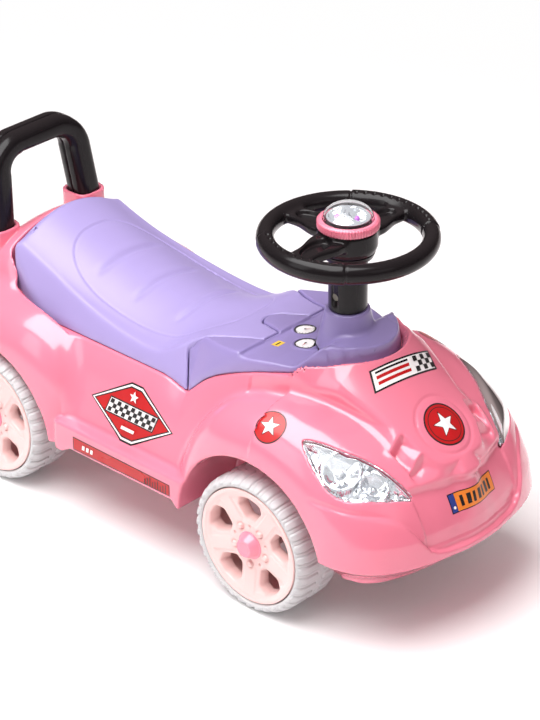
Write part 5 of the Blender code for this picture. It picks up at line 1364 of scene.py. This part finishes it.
for low in range(0, (PLATE_RINGS - 1) * PLATE_SEGMENTS, PLATE_SEGMENTS):
    high = low + PLATE_SEGMENTS
    for i in range(PLATE_SEGMENTS):
        j = (i + 1) % PLATE_SEGMENTS
        plate_faces.append((low + i, high + i, high + j, low + j))
horn_plate = mesh_piece("horn_plate", chrome_plate, plate_faces, chrome_film, 50)
welded = horn_plate.modifiers.new("centre", "WELD")
welded.merge_threshold = 0.00001
film = horn_plate.modifiers.new("film_backing", "SOLIDIFY")
film.thickness = 0.0006
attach(horn_plate, "steering")
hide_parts("horn_reflector")

violet = plastic("violet_lamp", (0.42, 0.10, 0.50), 0.15, 0.05, 0.02, 0.5)
bulb_profile = [(0, 0.3775), (0.0024, 0.3775), (0.0024, 0.3812), (0.0016, 0.3828), (0, 0.3832)]
for k, (cup_x, cup_y) in enumerate(cups):
    spot = (cup_x, COLUMN_Y + cup_y, 0)
    bulb = turned(f"horn_bulb_{k}", rounded_profile(bulb_profile, 0.0004), spot, UPWARDS, violet, 24)
    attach(bulb, "steering")
recoat("sound_module", plastic("module_plastic", (0.05, 0.05, 0.055), 0.5, 0.08, 0.3))

# Tyres
# Light-grey moulded rings with a satin face and rows of raised pill-shaped lugs round both shoulders.
TYRE_GREY = (0.56, 0.57, 0.58)
TYRE_RADIUS, TYRE_WIDTH, TYRE_OUTER_X = 0.0725, 0.058, 0.1375
LUGS, LUG_HALF, LUG_RISE, LUG_START, LUG_END = 36, 0.0034, 0.0010, 0.0100, 0.0300
grey_tyre = plastic("grey_tyre", TYRE_GREY, 0.42, 0.04, 0.22, 0.0, 22.0, 900.0)


def tyre_mesh():
    """Points and faces of one tyre about the X axis, centred on its own middle."""
    half = TYRE_WIDTH / 2
    base = [(0.0617, -half + 0.0045), (0.0622, -half + 0.0012), (0.0640, -half), (0.0668, -half)]
    base += [(0.0698, -half + 0.0042), (0.0713, -half + 0.0085), (0.0715, -half + 0.0125)]
    base += [(0.0716, 0.0)]
    base = base + [(r, -a) for r, a in reversed(base[:-1])]
    profile = []
    for (r0, a0), (r1, a1) in zip(base[:-1], base[1:]):
        cuts = max(1, int(math.hypot(r1 - r0, a1 - a0) / 0.0009))
        profile += [(r0 + (r1 - r0) * k / cuts, a0 + (a1 - a0) * k / cuts) for k in range(cuts)]
    profile.append(base[-1])
    profile = np.array(profile)
    for _ in range(3):
        profile[1:-1] = (profile[:-2] + 2 * profile[1:-1] + profile[2:]) / 4
    run = np.concatenate(([0], np.cumsum(np.linalg.norm(np.diff(profile, axis=0), axis=1))))
    normal = np.gradient(profile, axis=0)
    normal /= np.linalg.norm(normal, axis=1)[:, None]
    normal = np.stack((normal[:, 1], -normal[:, 0]), 1)
    segments = LUGS * 20
    points = []
    total = run[-1]
    pitch = 2 * math.pi / LUGS
    for i in range(segments):
        angle = 2 * math.pi * i / segments
        lift = np.zeros(len(profile))
        for mirror, place in ((0, run), (1, total - run)):
            phase = (angle / pitch + 0.5 * mirror) % 1.0 - 0.5
            width = phase * pitch * TYRE_RADIUS
            nearest = np.clip(place, LUG_START, LUG_END)
            away = np.hypot(place - nearest, width) - LUG_HALF
            lift += LUG_RISE * ease(0.5 - away / 0.0009) - 0.0006 * hump(away - 0.0011, 0.0008)
        moved = profile + normal * lift[:, None]
        around = (moved[:, 1], moved[:, 0] * math.sin(angle), moved[:, 0] * math.cos(angle))
        points.append(np.stack(around, 1))
    count = len(profile)
    grid = np.arange(segments * count).reshape(segments, count)
    a, b = grid, np.roll(grid, -1, 0)
    faces = np.stack((a[:, :-1], a[:, 1:], b[:, 1:], b[:, :-1]), -1).reshape(-1, 4)
    inner = np.stack((a[:, -1], a[:, 0], b[:, 0], b[:, -1]), -1)
    return np.concatenate(points), np.concatenate((faces, inner))


tyre_points, tyre_faces = tyre_mesh()

# Wheel discs and hub caps
# Pale salmon hard plastic: five broad spokes between deep bevelled windows, small round bumps round
# the middle, a barrel behind that runs on the axle. A pink knob snaps over the washer on the axle end.
SALMON = (0.84, 0.57, 0.55)
SPOKES = 5
DISC_RADIUS, DISC_BACK, DISC_BORE = 0.061, 0.026, 0.0044
DISC_FACE, WINDOW_FLOOR, WEB_FACE = 0.0285, 0.0165, 0.0125
BUMP_REACH, BUMPS = 0.0212, ((0.0, 0.0029, 0.0018), (0.5, 0.0016, -0.0018))
salmon_plastic = plastic("salmon_plastic", SALMON, 0.30, 0.03, 0.06, 0.2, 16.0)


def cornered_loop(points, radius):
    """A closed outline with each corner rounded by a short curve."""
    made = []
    for i in range(len(points)):
        p = Vector(points[i])
        before, after = Vector(points[i - 1]) - p, Vector(points[(i + 1) % len(points)]) - p
        a = p + before.normalized() * min(radius, before.length * 0.45)
        b = p + after.normalized() * min(radius, after.length * 0.45)
        made += [tuple(a * (1 - t) ** 2 + p * 2 * t * (1 - t) + b * t**2) for t in (0, 0.25, 0.5, 0.75, 1)]
    return made


# One window: its edge in the disc's face, then the smaller edge of the hole at its floor.
WINDOW = [(0.0250, -0.0052), (0.0405, -0.0162), (0.0512, -0.0130), (0.0542, 0.0)]
WINDOW += [(0.0512, 0.0130), (0.0405, 0.0162), (0.0250, 0.0052)]
HOLE = [(0.0300, -0.0045), (0.0412, -0.0132), (0.0498, -0.0106), (0.0522, 0.0)]
HOLE += [(0.0498, 0.0106), (0.0412, 0.0132), (0.0300, 0.0045)]
window_distance = plan_distance(cornered_loop(WINDOW, 0.003), 0.06, 0.0008)
hole_distance = plan_distance(cornered_loop(HOLE, 0.002), 0.06, 0.0008)


def disc_field(x, y, z):
    """One wheel disc about the X axis, with its outer face towards +X, centred on the tyre's middle."""
    r = np.hypot(y, z)
    turn = np.arctan2(y, z)
    sector = 2 * math.pi / SPOKES
    local = (turn + sector / 2) % sector - sector / 2
    u, v = r * np.cos(local), r * np.sin(local)
    lip = 0.0012 * ease((0.0575 - r) / 0.003)
    face_x = DISC_FACE - lip - 0.0030 * np.clip((0.055 - r) / 0.035, 0, 1)
    spoke_turn = (turn % sector) - sector / 2
    ridge = 0.0014 * ease((np.abs(r * np.sin(spoke_turn)) - 0.0062) / 0.002)
    ridge = ridge * ease((r - 0.022) / 0.006) * ease((0.054 - r) / 0.004)
    face = x - face_x + ridge
    hole = hole_distance(u, v)
    depth = (0.0275 - x) / 0.011
    window = window_distance(u, v)
    wall = window + (hole - window) * np.clip(depth, 0, 1)
    pit = np.maximum(wall * 0.8, WINDOW_FLOOR - x)
    bumps = 0
    for k in range(SPOKES):
        for place, radius, height in BUMPS:
            angle = sector * (k + 0.5 + place)
            away = np.hypot(y - BUMP_REACH * math.sin(angle), z - BUMP_REACH * math.cos(angle))
            bumps = bumps - height * ease((radius - away) / 0.0009 + 0.5)
            if height > 0:
                bumps = bumps + 0.0016 * hump(away - radius - 0.0011, 0.0007)
    outer = smooth_max(face + bumps, r - DISC_RADIUS, 0.0012)
    outer = np.maximum(outer, -DISC_BACK - x)
    outer = smooth_max(outer, -pit, 0.0015)
    behind = np.maximum(x - WEB_FACE, np.maximum(r - DISC_RADIUS + 0.003, 0.0135 - r))
    made = np.maximum(outer, -behind)
    through = np.maximum(hole, 0.010 - x)
    made = smooth_max(made, -through, 0.0008)
    made = np.maximum(made, DISC_BORE - r)
    return np.maximum(made, -np.maximum(r - 0.010, 0.0175 - x))


disc_low, disc_high = (-0.0270, -0.0625, -0.0625), (0.0300, 0.0625, 0.0625)
disc_template = moulded("disc_template", disc_field, disc_low, disc_high, 0.00100, salmon_plastic)
disc_points = np.array([v.co for v in disc_template.data.vertices])
disc_faces = [tuple(p.vertices) for p in disc_template.data.polygons]
bpy.data.objects.remove(disc_template)
cap_plastic = plastic("cap_plastic", (0.86, 0.25, 0.34), 0.22, 0.03, 0.04, 0.4)
cap_profile = [(0, 0.0242), (0.0146, 0.0242), (0.0146, 0.0252), (0.0134, 0.0256), (0.0090, 0.0340)]
cap_profile += [(0.0062, 0.0340), (0.0058, 0.0336), (0, 0.0336)]
cap_profile = rounded_profile(cap_profile, 0.0006)

for place, axle_y in (("front", FRONT_AXLE_Y), ("rear", REAR_AXLE_Y)):
    for side, word in SIDES:
        middle = np.array((side * (TYRE_OUTER_X - TYRE_WIDTH / 2), axle_y, AXLE_Z))
        mirrored = np.array((side, 1, 1))
        ring_points = tyre_points * mirrored + middle
        ring_faces = [tuple(f)[::-side] for f in tyre_faces]
        ring = mesh_piece(f"{place}_tyre_{word}", ring_points, ring_faces, grey_tyre)
        own_points = disc_points * mirrored + middle
        own_faces = [f[::side] for f in disc_faces]
        disc = mesh_piece(f"{place}_disc_{word}", own_points, own_faces, salmon_plastic)
        cap = turned(f"{place}_cap_{word}", cap_profile, middle, (side, 0, 0), cap_plastic, 64, 60)
        for piece, node, slot_name in (
            (ring, f"tyre_{place}_{word}", "grey_tyre"),
            (disc, f"wheel_disc_{place}_{word}", "salmon_plastic"),
            (cap, f"hub_cap_{place}_{word}", "pink_plastic"),
        ):
            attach(piece, f"wheel_{place}_{word}")
            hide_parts(node)

# Axles, linkage and bushes
# Plated steel parts below the body: cross-member, kingpins, knuckles, tie rod, axles and washers,
# with black bushes at the rear. They stay as made in CAD.
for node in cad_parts:
    if node.startswith(("rear_axle", "kingpin", "stub_axle")):
        recoat(node, bright_steel)
    elif node.startswith(("cross_member", "tie_rod", "steering_knuckle", "axle_washer")):
        recoat(node, zinc_steel)
    elif node.startswith("rear_bush"):
        recoat(node, black_plastic)
